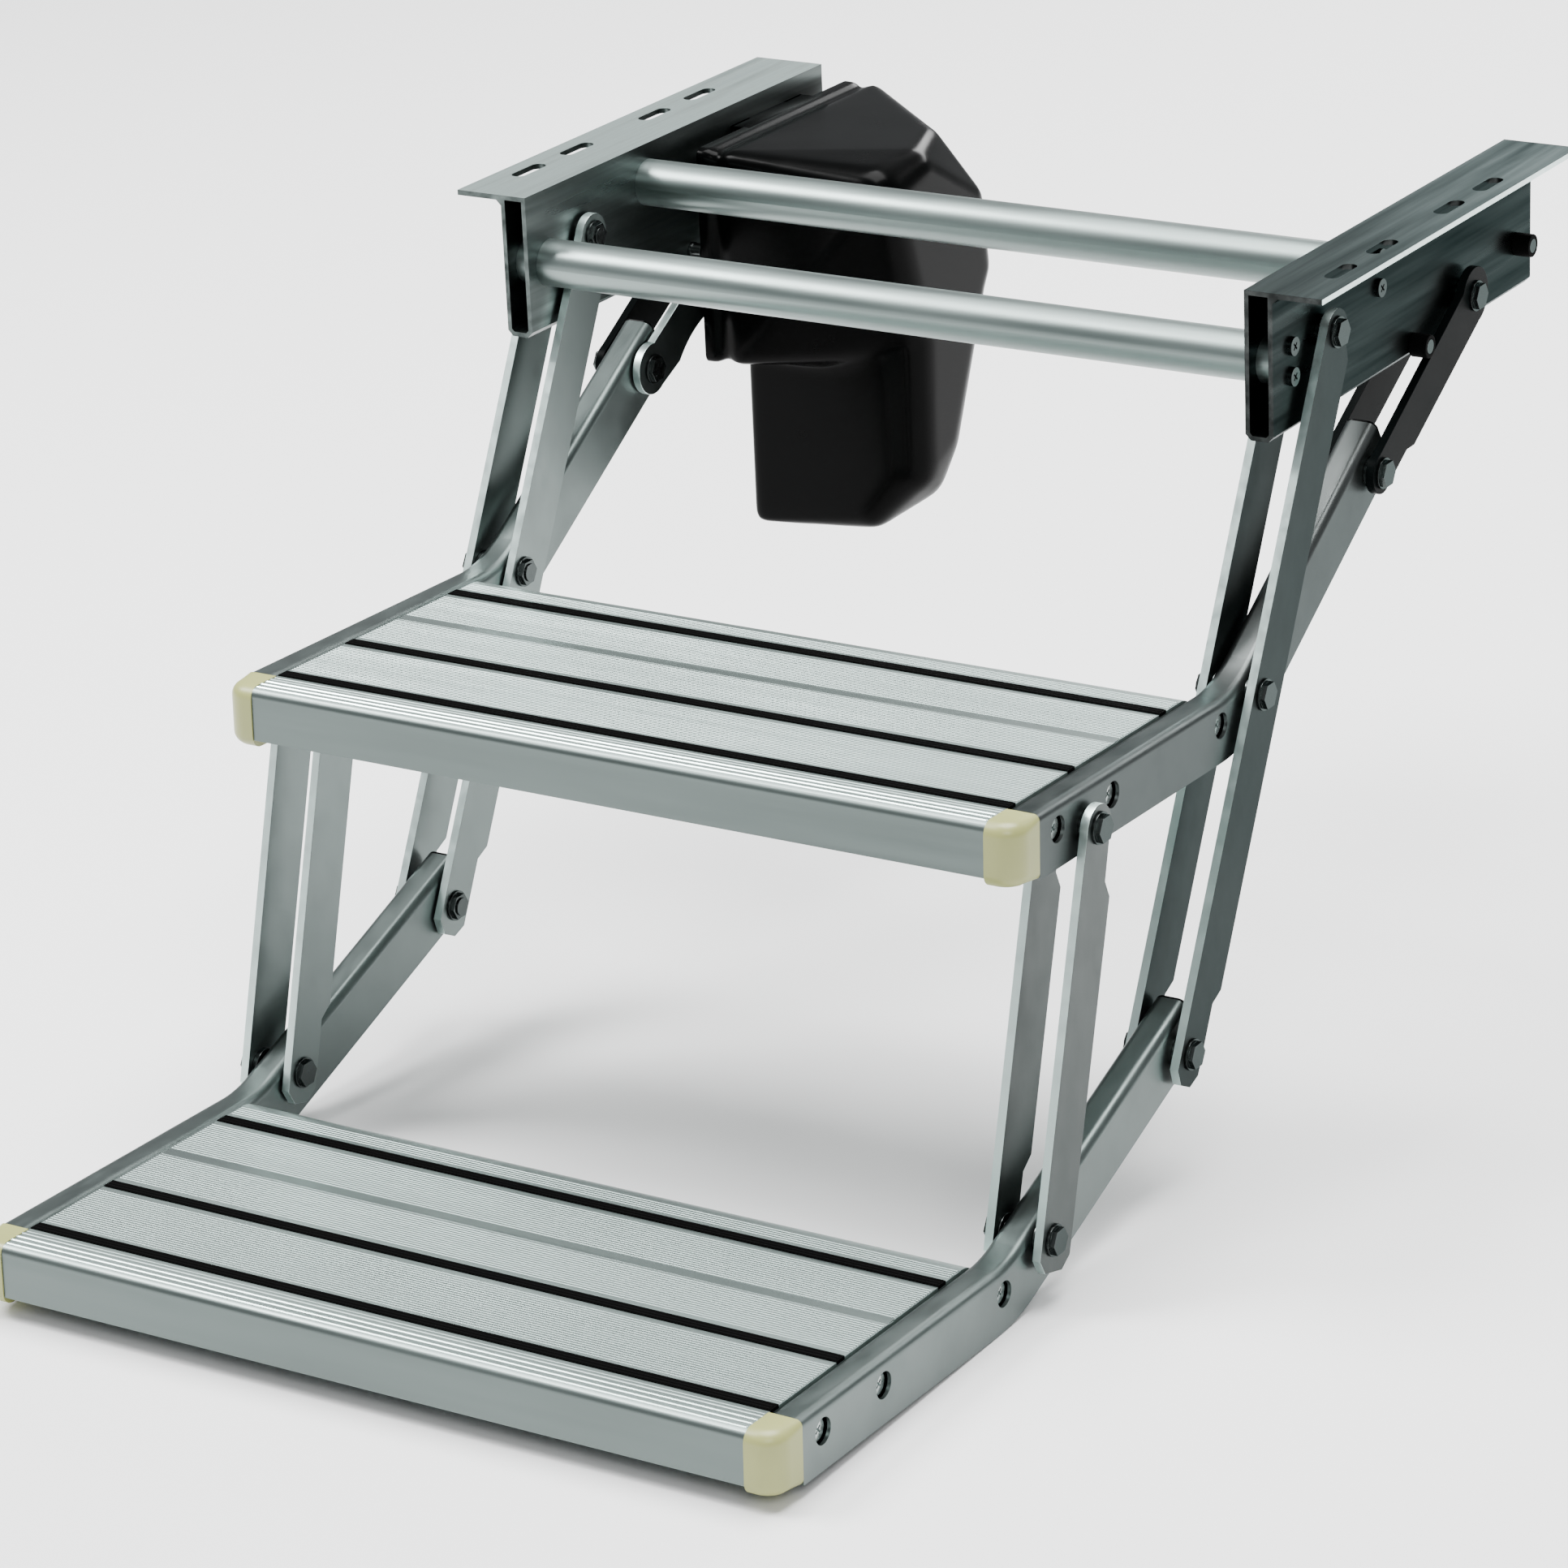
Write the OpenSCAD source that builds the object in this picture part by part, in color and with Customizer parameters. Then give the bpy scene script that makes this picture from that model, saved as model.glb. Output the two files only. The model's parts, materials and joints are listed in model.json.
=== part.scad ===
// Electric double entry step for a caravan, shown unfolded.
// X points outward, the way the step unfolds, Y to the right seen from the front, Z up.
// The origin is the centre of the four outer flange slots, on the face that meets the floor.

/* [Rails] */
// Length of each rail
rail_len = 318; // [300:1:340]
// Height of the rail box
rail_h = 80.5; // [78:0.5:90]
// Width of the rail box
rail_w = 16.2; // [15:0.1:17]
// Wall of the rail box
rail_wall = 2.6; // [2:0.1:3]
// Width of the flange beyond the box
flange_w = 28.5; // [26:0.5:36]
// Thickness of the flange
flange_t = 3; // [2.5:0.1:4]
// Chamfer on the lower corners of the box
rail_chamfer = 3.2; // [1:0.1:5]
// Distance from the slot centre to the front end of the rails
rail_front = 140; // [132:1:150]

/* [Mounting slots] */
// Width of a slot
slot_w = 8.5; // [6.5:0.1:10.5]
// Length of a slot from tip to tip
slot_len = 28; // [20:1:34]
// Distance between the outermost slots of a rail
slot_span_outer = 180; // [160:1:200]
// Distance between the two middle slots of a rail
slot_span_inner = 82; // [74:1:90]
// Distance from the rail box to the slots' centre line
slot_offset = 14.3; // [12:0.1:18]

/* [Cross tubes] */
// Diameter of the cross tubes
tube_d = 26.6; // [22:0.1:28]
// Wall of the cross tubes
tube_wall = 2.4; // [1.5:0.1:3.5]
// Front tube, distance behind the front end of the rails
front_tube_back = 21; // [17:0.5:24]
// Front tube, depth below the flange face
front_tube_down = 42; // [34:0.5:50]
// Rear tube, distance behind the front end of the rails
rear_tube_back = 124; // [110:1:132]
// Rear tube, depth below the flange face
rear_tube_down = 22.5; // [20:0.5:30]

/* [Steps] */
// Width of the treads between the side tubes
tread_w = 440; // [380:1:500]
// Depth of the treads, nosing to rear edge
tread_d = 221; // [210:1:240]
// Height of the nosing
nosing_h = 28.5; // [26:0.5:34]
// Thickness of the deck
deck_t = 3; // [2.4:0.1:4]
// Radius of the rolled rear edge
rear_roll = 15; // [12:0.5:18]
// Width of a rubber strip
strip_w = 7.6; // [5:0.1:12]
// Distance from the lower step to the upper one, upwards
step_rise = 218; // [210:1:226]
// Distance from the upper step to the lower one, outwards
step_going = 240.5; // [234:0.5:248]
// Rear edge of the upper tread, distance in front of the rails' front end
upper_out = 59; // [54:0.5:64]
// Top of the upper tread's rear edge, depth below the flange face
upper_down = 200.5; // [194:0.5:208]
// Upward tilt of the treads towards the nosing, degrees
tread_tilt = 2; // [0:0.5:4]

/* [Side tubes] */
// Width of the side tubes
side_w = 18.5; // [17.5:0.1:20]
// Height of the side tubes
side_h = 34; // [32:0.5:38]
// Wall of the side tubes
side_wall = 2; // [1.5:0.1:2.5]
// Rounding of their upper corners
side_round = 5; // [3:0.1:6]
// How far they stand above the tread
side_proud = 0.5; // [0:0.1:1.5]
// Radius of the bends, at mid height
bend_r = 85; // [70:1:100]
// Upper side tubes, rise behind the bend, degrees
upper_bend = 33; // [31:0.5:35]
// Lower side tubes, rise behind the bend, degrees
lower_bend = 21.5; // [20:0.5:23]
// Upper side tubes, bend behind the tread's rear edge
upper_bend_back = 20.5; // [17:0.5:24]
// Lower side tubes, bend behind the tread's rear edge
lower_bend_back = 3.5; // [0:0.5:7]
// Length of a corner cap
cap_l = 23; // [20:0.5:28]

/* [Pivots] */
// Front arms on the rails, distance behind the rails' front end
arm_back = 56; // [53:0.5:62]
// Front arms on the rails, depth below the flange face
arm_down = 35; // [32:0.5:40]
// Rear links on the rails, distance behind the rails' front end
link_back = 226; // [220:0.5:232]
// Rear links on the rails, depth below the flange face
link_down = 62; // [58:0.5:65]
// Front arms on the upper step, distance behind the bend
arm_upper_along = 12; // [8:0.5:16]
// Front arms on the upper step, height over the tube's middle line
arm_upper_over = 6.5; // [4:0.5:8]
// Knee of the rear links, distance behind the bend
knee_along = 173.5; // [168:0.5:178]
// Lower links on the upper step, distance in front of the rear edge
low_link_out = 152; // [146:0.5:158]
// Lower links on the upper step, height over the tube's middle line
low_link_over = -3.5; // [-6:0.5:0]
// Front arms on the lower step, distance behind the bend
arm_lower_along = 188; // [182:0.5:194]
// Front arms on the lower step, height over the tube's middle line
arm_lower_over = -3; // [-6:0.5:0]
// Lower links on the lower step, distance behind the bend
low_link_along = 33; // [28:0.5:38]
// Lower links on the lower step, height over the tube's middle line
low_link_end_over = 8.5; // [5:0.5:9]
// Diameter of the pivot bolts
bolt_d = 10; // [8:0.1:12]
// Width across flats of their heads
bolt_flats = 13; // [11:0.5:15]
// Diameter of the flange under a head
bolt_flange_d = 17; // [16:0.5:20]

/* [Bars] */
// Thickness of the bars
bar_t = 4.8; // [4:0.1:6]
// Front edge of a bar, distance from the line of its holes
bar_front = 12; // [11:0.1:13]
// Rear edge of a bar, distance from the line of its holes
bar_rear = 19.5; // [17:0.1:22]
// Length of the narrow end of a bar, from the hole
bar_relief = 28; // [22:0.5:36]
// Radius of the rear links' upper end
link_end_r = 15.7; // [15:0.1:18]
// Gap between the outer bars and the side tubes
gap_outer = 3.2; // [2.5:0.1:4]
// Gap between the inner bars and the side tubes
gap_inner = 1.3; // [1:0.1:2]

/* [Stops] */
// Diameter of a stop buffer
stop_d = 13; // [10:0.1:14]
// Unfolded stop, distance from the rear links' upper pivot
stop_down_along = 57.5; // [56:0.5:60]
// Folded stop, distance from the rear links' upper pivot
stop_up_along = 70; // [60:0.5:76]
// Turn of the rear links from unfolded to folded, degrees
link_turn = 139.3; // [134:0.1:142]

/* [Motor and cover] */
// Front of the cover, distance behind the rails' front end
cover_back = 162; // [158:0.5:164]
// Depth of the cover at the rail
cover_d = 161; // [150:1:164]
// Depth of the cover at its free side
cover_side_d = 113; // [104:1:116]
// Top of the cover, depth below the flange face
cover_top = 12; // [8:0.5:16]
// Underside of the cover's upper part, depth below the flange face
cover_low = 140; // [130:1:141]
// Underside of the motor pocket, depth below the flange face
pocket_low = 243; // [230:1:250]
// Front of the motor pocket, distance behind the cover's front
pocket_back = 25; // [24:0.5:30]
// Width of the cover, from the bracket to its free side
cover_w = 126; // [118:0.5:128]
// Wall of the cover
cover_wall = 2.5; // [2:0.1:3.5]
// Rounding of the cover's edges
cover_round = 7; // [4:0.5:9]
// Diameter of the motor
motor_d = 40; // [32:0.5:42]

/* [Hidden] */
$fn = 64;
// running clearances: on a bolt's radius, beside a moving bar, and between fixed pieces
run = 0.05;
slip = 0.2;
fit = 0.05;
cut = 1;
alu = [0.72, 0.75, 0.75];
steel = [0.62, 0.63, 0.63];
dark = [0.12, 0.13, 0.13];
rubber = [0.06, 0.06, 0.06];
cream = [0.88, 0.87, 0.76];

// places across the step, measured from the middle plane
side_in = tread_w / 2;
side_out = side_in + side_w;
rail_in = side_in + 1;
rail_out = rail_in + rail_w;
outer_bar = side_out + gap_outer;
inner_bar = side_in - gap_inner - bar_t;
inner_bar_face = side_in - gap_inner;
rear_end = rail_front - rail_len;
slot_y = rail_out + slot_offset;

// a point of a step: out from the rear edge, up from the tread's top, turned by the tilt
function step_at(origin, u, w) = origin
    + [u * cos(tread_tilt) - w * sin(tread_tilt), u * sin(tread_tilt) + w * cos(tread_tilt)];
side_mid = side_proud - side_h / 2;
// a point on a side tube: distance behind the bend and height over the middle line
function behind_bend(back, rise, along, over) =
    [-back - along * cos(rise) + over * sin(rise), side_mid + along * sin(rise) + over * cos(rise)];

upper_at = [rail_front + upper_out, -upper_down];
lower_at = upper_at + [step_going, -step_rise];
// the pivots seen from the side
arm_top = [rail_front - arm_back, -arm_down];
link_top = [rail_front - link_back, -link_down];
arm_upper_uv = behind_bend(upper_bend_back, upper_bend, arm_upper_along, arm_upper_over);
knee_uv = behind_bend(upper_bend_back, upper_bend, knee_along, 0);
low_link_uv = [low_link_out, side_mid + low_link_over];
arm_lower_uv = behind_bend(lower_bend_back, lower_bend, arm_lower_along, arm_lower_over);
low_end_uv = behind_bend(lower_bend_back, lower_bend, low_link_along, low_link_end_over);
arm_mid = step_at(upper_at, arm_upper_uv[0], arm_upper_uv[1]);
knee = step_at(upper_at, knee_uv[0], knee_uv[1]);
low_top = step_at(upper_at, low_link_uv[0], low_link_uv[1]);
arm_low = step_at(lower_at, arm_lower_uv[0], arm_lower_uv[1]);
low_end = step_at(lower_at, low_end_uv[0], low_end_uv[1]);

function unit(v) = v / norm(v);
// the normal on the front side of a bar that runs downwards
function front_normal(v) = [-v[1], v[0]];
function turned(v, a) = [v[0] * cos(a) + v[1] * sin(a), v[1] * cos(a) - v[0] * sin(a)];

rail_top = 0;
shank_r = bolt_d / 2;
bore_r = shank_r + run;
sleeve_r = shank_r + 3;
flange_r = bolt_flange_d / 2;
hex_r = bolt_flats / sqrt(3);
head_flange = 1.2;
head_hex = 2.8;
nut_hex = 2.3;
nut_in = inner_bar - slip - head_flange - nut_hex;
head_out = outer_bar + bar_t + slip;

// what a bar looks like from the side
bar_narrow = 12.8;
end_bulge = 0.3;
bar_past = 17;
bar_cut = 7;
relief_step = 8;
arm_top_relief = 3;
link_tip_r = 11.2;
drive_tip_r = 14.7;
drive_root_r = 21.7;
drive_wide = 60;

// places of the cross tubes and the stops, seen from the side
front_tube_at = [rail_front - front_tube_back, -front_tube_down];
rear_tube_at = [rail_front - rear_tube_back, -rear_tube_down];
link_dir = unit(knee - link_top);
link_stow = turned(link_dir, link_turn);
stop_r = stop_d / 2;
stop_core_r = 4;
stop_clear = 0.25;
stop_down_at = link_top + link_dir * stop_down_along + front_normal(link_dir) * (bar_front + stop_r + stop_clear);
stop_up_at = link_top + link_stow * stop_up_along - front_normal(link_stow) * (link_end_r + stop_r + stop_clear);
stop_inner = 8;
stop_outer = outer_bar + bar_t + 1 - rail_out;

// one copy on the right, one on the left
module both() {
    children();
    mirror([0, 1, 0]) children();
}
module left() {
    mirror([0, 1, 0]) children();
}
// side views given thickness, from a distance y outwards
module slab(y, t) {
    translate([0, y + t, 0]) rotate([90, 0, 0]) for (i = [0:$children - 1]) linear_extrude(t) children(i);
}
module rod(p, y0, y1, r) {
    translate([0, y1, 0]) rotate([90, 0, 0]) translate([p[0], p[1], 0]) cylinder(h = y1 - y0, r = r);
}
module ring(p, y0, y1, r, bore) {
    difference() {
        rod(p, y0, y1, r);
        rod(p, y0 - cut, y1 + cut, bore);
    }
}
module hex_rod(p, y0, y1) {
    translate([0, y1, 0]) rotate([90, 0, 0]) translate([p[0], p[1], 0]) cylinder(h = y1 - y0, r = hex_r, $fn = 6);
}
// head and shank of a pivot bolt, right side
module bolt(p, y0) {
    rod(p, y0, head_out + head_flange, shank_r);
    rod(p, head_out, head_out + head_flange, flange_r);
    hex_rod(p, head_out + head_flange, head_out + head_flange + head_hex);
}
module nut(p) {
    difference() {
        union() {
            rod(p, nut_in + nut_hex, nut_in + nut_hex + head_flange, flange_r);
            hex_rod(p, nut_in, nut_in + nut_hex);
        }
        rod(p, nut_in - cut, inner_bar, bore_r);
    }
}
// a bolt that ends in the washer beside its bar: head, shank
module outer_stub(p) {
    bolt(p, side_out + slip);
}
module inner_stub(p) {
    rod(p, nut_in + nut_hex, side_in - slip, shank_r);
    rod(p, nut_in + nut_hex, inner_bar - slip, flange_r);
    hex_rod(p, nut_in, nut_in + nut_hex);
}

// rails
module rail_section() {
    difference() {
        polygon([[rail_in, rail_top], [rail_out + flange_w, rail_top], [rail_out + flange_w, -flange_t],
            [rail_out + flange_t, -flange_t], [rail_out, -2 * flange_t],
            [rail_out, -rail_h + rail_chamfer], [rail_out - rail_chamfer, -rail_h],
            [rail_in + rail_chamfer, -rail_h], [rail_in, -rail_h + rail_chamfer]]);
        polygon([[rail_in + rail_wall, -rail_wall], [rail_out - rail_wall, -rail_wall],
            [rail_out - rail_wall, -rail_h + rail_wall + rail_chamfer / 2],
            [rail_out - rail_wall - rail_chamfer / 2, -rail_h + rail_wall],
            [rail_in + rail_wall + rail_chamfer / 2, -rail_h + rail_wall],
            [rail_in + rail_wall, -rail_h + rail_wall + rail_chamfer / 2]]);
    }
}
module slot(x) {
    reach = (slot_len - slot_w) / 2;
    translate([x, slot_y, -flange_t - cut]) {
        translate([-reach, -slot_w / 2, 0]) cube([2 * reach, slot_w, flange_t + 2 * cut]);
        for (i = [-1, 1]) translate([i * reach, 0, 0]) cylinder(h = flange_t + 2 * cut, r = slot_w / 2);
    }
}
module rail() {
    difference() {
        translate([rear_end, 0, 0]) rotate([90, 0, 90]) linear_extrude(rail_len) rail_section();
        for (x = [slot_span_outer, slot_span_inner] / 2) slot(x);
        for (x = [slot_span_outer, slot_span_inner] / 2) slot(-x);
        rod(front_tube_at, rail_in - cut, rail_out - rail_wall, tube_d / 2 + fit);
        rod(rear_tube_at, rail_in - cut, rail_out - rail_wall, tube_d / 2 + fit);
        for (p = [front_tube_at, rear_tube_at]) for (i = [-1, 1])
            rod(p + [0, i * screw_up], rail_in, rail_out + cut, screw_r + fit);
        rod(arm_top, rail_in - cut, rail_out + cut, bore_r);
        rod(link_top, rail_in - cut, rail_out + cut, bore_r);
        rod(stop_down_at, rail_in - cut, rail_out + cut, stop_core_r + fit);
        rod(stop_up_at, rail_in - cut, rail_out + cut, stop_core_r + fit);
    }
}
screw_r = 2.4;
channel_wall = 1.6;
screw_head_r = 5;
screw_head_t = 2.6;
screw_up = 8.2;
screw_in = 22;
module left_rail() {
    color(alu) left() difference() {
        rail();
        for (b = post_back) rod([cover_at - b, post_z], rail_in - cut, rail_in + rail_wall + cut, post_bolt_r + fit);
        for (b = tab_at) rod([cover_at - b - tab_l / 2, tab_screw_z], rail_in - cut, rail_in + rail_wall + cut, screw_r + fit);
    }
}
module right_rail() {
    color(alu) rail();
}
// a round cross tube with two screw channels in it
module cross_tube(p) {
    half = rail_out - rail_wall - fit;
    r = tube_d / 2;
    difference() {
        union() {
            ring(p, -half, half, r, r - tube_wall);
            for (i = [-1, 1]) intersection() {
                rod(p + [0, i * screw_up], -half, half, screw_r + channel_wall);
                rod(p, -half, half, r - tube_wall / 2);
            }
        }
        for (i = [-1, 1]) rod(p + [0, i * screw_up], -half - cut, half + cut, screw_r + fit);
    }
}
module front_tube() {
    color(alu) cross_tube(front_tube_at);
}
module rear_tube() {
    color(alu) cross_tube(rear_tube_at);
}
module cross_recess(p, y) {
    for (i = [0, 1]) translate([p[0], y, p[1]]) rotate([0, 45 + 90 * i, 0])
        translate([-recess_l / 2, -recess_deep, -recess_w / 2]) cube([recess_l, recess_deep + cut, recess_w]);
}
recess_l = 5;
recess_w = 1.1;
recess_deep = 1.4;
module pan_screw(p, y, len) {
    difference() {
        union() {
            rod(p, y - len, y + screw_head_t / 2, screw_r);
            rod(p, y, y + screw_head_t, screw_head_r);
        }
        cross_recess(p, y + screw_head_t);
    }
}
module tube_screws() {
    color(steel) both() for (p = [front_tube_at, rear_tube_at]) for (i = [-1, 1])
        pan_screw(p + [0, i * screw_up], rail_out, screw_in);
}
module rail_sleeves() {
    color(steel) both() for (p = [arm_top, link_top])
        ring(p, rail_in + rail_wall, rail_out - rail_wall, sleeve_r, bore_r);
}
module stop_studs() {
    color(steel) both() for (p = [stop_down_at, stop_up_at]) {
        rod(p, rail_in - slip, rail_out + stop_outer, stop_core_r);
        rod(p, rail_in - stop_head, rail_in, stop_core_r + 1);
    }
    color(steel) left() rod(stop_down_at, rail_in - stop_inner, rail_in - stop_head, stop_core_r + 0.5);
}
stop_head = 2;
module stop_buffers() {
    color(rubber) both() for (p = [stop_down_at, stop_up_at])
        ring(p, rail_out, rail_out + stop_outer, stop_r, stop_core_r + fit);
}
module rail_spacers() {
    color(steel) both() for (p = [arm_top, link_top]) {
        ring(p, rail_out, outer_bar - slip, flange_r, bore_r);
        ring(p, inner_bar_face + slip, rail_in, flange_r, bore_r);
    }
}
module rail_pivot_bolts() {
    color(steel) {
        both() bolt(arm_top, nut_in - cut);
        bolt(link_top, nut_in - cut);
    }
}
module rail_pivot_nuts() {
    color(steel) {
        both() nut(arm_top);
        nut(link_top);
    }
}

// bars
module bar_plan(len, top_relief, end_rear) {
    polygon([[0, bar_front], [len + bar_past - bar_cut, bar_front], [len + bar_past, bar_front - bar_cut],
        [len + bar_past, bar_cut - end_rear], [len + bar_past - bar_cut, -end_rear],
        [len - bar_relief, -end_rear], [len - bar_relief - relief_step, -bar_rear],
        [top_relief + relief_step, -bar_rear], [top_relief, -bar_narrow], [0, -bar_front]]);
}
module bar(p, q, more, y, top_relief, end_rear) {
    v = q - p;
    difference() {
        slab(y, bar_t) {
            translate(p) circle(r = bar_front + end_bulge);
            translate(p) rotate(atan2(v[1], v[0])) bar_plan(norm(v), top_relief, end_rear);
        }
        for (h = concat([p, q], more)) rod(h, y - cut, y + bar_t + cut, bore_r);
    }
}
module arm(y) {
    bar(arm_top, arm_low, [arm_mid], y, arm_top_relief, bar_narrow);
}
module low_link(y, end_rear) {
    bar(low_top, low_end, [], y, bar_relief, end_rear);
}
module left_outer_arm() {
    color(alu) left() arm(outer_bar);
}
module left_inner_arm() {
    color(alu) left() arm(inner_bar);
}
module right_outer_arm() {
    color(alu) arm(outer_bar);
}
module right_inner_arm() {
    color(alu) arm(inner_bar);
}
module left_outer_low_link() {
    color(alu) left() low_link(outer_bar, bar_rear);
}
module left_inner_low_link() {
    color(alu) left() low_link(inner_bar, bar_narrow);
}
module right_outer_low_link() {
    color(alu) low_link(outer_bar, bar_rear);
}
module right_inner_low_link() {
    color(alu) low_link(inner_bar, bar_narrow);
}
link_len = norm(knee - link_top);
module rear_link_plan() {
    polygon([[0, bar_front], [link_len, link_tip_r], [link_len, -link_tip_r],
        [link_len - bar_relief, -link_tip_r], [link_len - bar_relief - relief_step, -link_end_r],
        [0, -link_end_r]]);
}
module drive_plan() {
    polygon([[0, bar_front], [link_len, bar_front], [link_len, -drive_tip_r],
        [drive_wide, -drive_root_r], [0, -drive_root_r]]);
}
drive_curve = 44;
drive_hollow = 60;
module rear_link(y) {
    difference() {
        slab(y, bar_t) {
            translate(link_top) circle(r = link_end_r + end_bulge);
            translate(knee) circle(r = link_tip_r + end_bulge);
            place_link() rear_link_plan();
        }
        for (h = [link_top, knee]) rod(h, y - cut, y + bar_t + cut, bore_r);
    }
}
module place_link() {
    translate(link_top) rotate(atan2(link_dir[1], link_dir[0])) children();
}
module left_outer_rear_link() {
    color(dark) left() rear_link(outer_bar);
}
module drive_link() {
    color(alu) left() difference() {
        slab(inner_bar, bar_t) {
            translate(link_top) circle(r = drive_root_r + end_bulge);
            translate(knee) circle(r = drive_tip_r + end_bulge);
            place_link() drive_plan();
        }
        slab(inner_bar - cut, bar_t + 2 * cut) place_link()
            translate([link_len - drive_curve, -drive_tip_r - drive_hollow]) circle(r = drive_hollow + 1.5);
        for (h = [link_top, knee]) rod(h, inner_bar - cut, inner_bar + bar_t + cut, bore_r);
    }
}
module right_outer_rear_link() {
    color(dark) rear_link(outer_bar);
}
module right_inner_rear_link() {
    color(dark) rear_link(inner_bar);
}
module stubs(p) {
    both() {
        outer_stub(p);
        inner_stub(p);
    }
}
module stub_washers(p) {
    both() {
        ring(p, side_out + slip, outer_bar, flange_r, bore_r);
        ring(p, inner_bar_face, side_in - slip, flange_r, bore_r);
    }
}
module knee_bolts() {
    color(steel) stubs(knee);
}
module knee_washers() {
    color(steel) stub_washers(knee);
}
module low_link_bolts() {
    color(steel) stubs(low_end);
}
module low_link_washers() {
    color(steel) stub_washers(low_end);
}
// the shaft turns the drive link and carries the left outer link
module drive_shaft() {
    color(steel) left() {
        bolt(link_top, inner_bar - slip);
        rod(link_top, gear_in + cut, inner_bar - slip, shaft_r);
    }
}

// steps, drawn with the tread's rear edge at the origin
module on_step(origin) {
    translate([origin[0], 0, origin[1]]) rotate([0, -tread_tilt, 0]) children();
}
// a rectangle with two round upper corners
corner_step = 15;
module side_section(w, h, r) {
    polygon(concat([[0, -h / 2], [w, -h / 2]],
        [for (a = [0:corner_step:90]) [w - r + r * cos(a), h / 2 - r + r * sin(a)]],
        [for (a = [90:corner_step:180]) [r + r * cos(a), h / 2 - r + r * sin(a)]]));
}
module side_bar(len, w, h, r) {
    rotate([90, 0, 90]) linear_extrude(len) side_section(w, h, r);
}
module side_bend(rise, w, h, r) {
    rotate([-90, 90, 0]) rotate_extrude(angle = rise) translate([bend_r, 0]) rotate(90) side_section(w, h, r);
}
// straight, bend and rising straight; the straights lap the bend and are a hair taller, so all join
lap = 0.5;
hair = 0.02;
// grow lengthens the ends of the hollow
module side_run(turn_at, rise, straight, w, h, r, grow) {
    translate([turn_at - lap, 0, 0]) side_bar(cap_from - turn_at + lap + grow, w, h + 2 * hair, r);
    translate([turn_at, 0, bend_r]) side_bend(rise, w, h, r);
    translate([turn_at, 0, bend_r]) rotate([0, rise, 0]) translate([-straight - grow, 0, -bend_r])
        side_bar(straight + lap + grow, w, h + 2 * hair, r);
}
cap_from = tread_d - cap_l + 0.5;
side_past = 19;
module side_tube(bend_back, rise, behind, pivots) {
    tangent = bend_r * tan(rise / 2);
    turn_at = tangent - bend_back;
    difference() {
        translate([0, side_in, side_mid])
            side_run(turn_at, rise, behind - tangent, side_w, side_h, side_round, 0);
        translate([0, side_in + side_wall, side_mid]) side_run(turn_at, rise, behind - tangent,
            side_w - 2 * side_wall, side_h - 2 * side_wall, side_round - side_wall, cut);
        for (p = pivots) rod(p, side_in - cut, side_out + cut, bore_r);
        for (u = screw_us) {
            rod([u, screw_z], side_in - cut, side_in + side_wall + cut, screw_r + fit);
            rod([u, screw_z], side_out - side_wall - cut, side_out + cut, access_r);
        }
    }
}
screw_us = [5.5, 123.5, 180];
screw_z = -13;
access_r = 7;
channel_r = 4.2;
upper_pivots = [arm_upper_uv, knee_uv, low_link_uv];
lower_pivots = [arm_lower_uv, low_end_uv];
upper_held = [arm_upper_uv, low_link_uv];
upper_behind = knee_along + side_past;
lower_behind = arm_lower_along + side_past - 2;
module upper_side() {
    on_step(upper_at) side_tube(upper_bend_back, upper_bend, upper_behind, upper_pivots);
}
module lower_side() {
    on_step(lower_at) side_tube(lower_bend_back, lower_bend, lower_behind, lower_pivots);
}
module upper_left_side() {
    color(alu) left() upper_side();
}
module upper_right_side() {
    color(alu) upper_side();
}
module lower_left_side() {
    color(alu) left() lower_side();
}
module lower_right_side() {
    color(alu) lower_side();
}

strip_us = [35, 132.5, 193];
strip_deep = 1.4;
strip_proud = 0.6;
band_u = 84;
band_w = 5;
band_deep = 0.4;
lip_down = 21;
nose_round = 5;
nose_from = tread_d - 3 * nose_round;
rib_r = 1.3;
rib_sunk = 0.7;
rib_us = [203, 207.5, 212];
web_t = 2.2;
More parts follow.
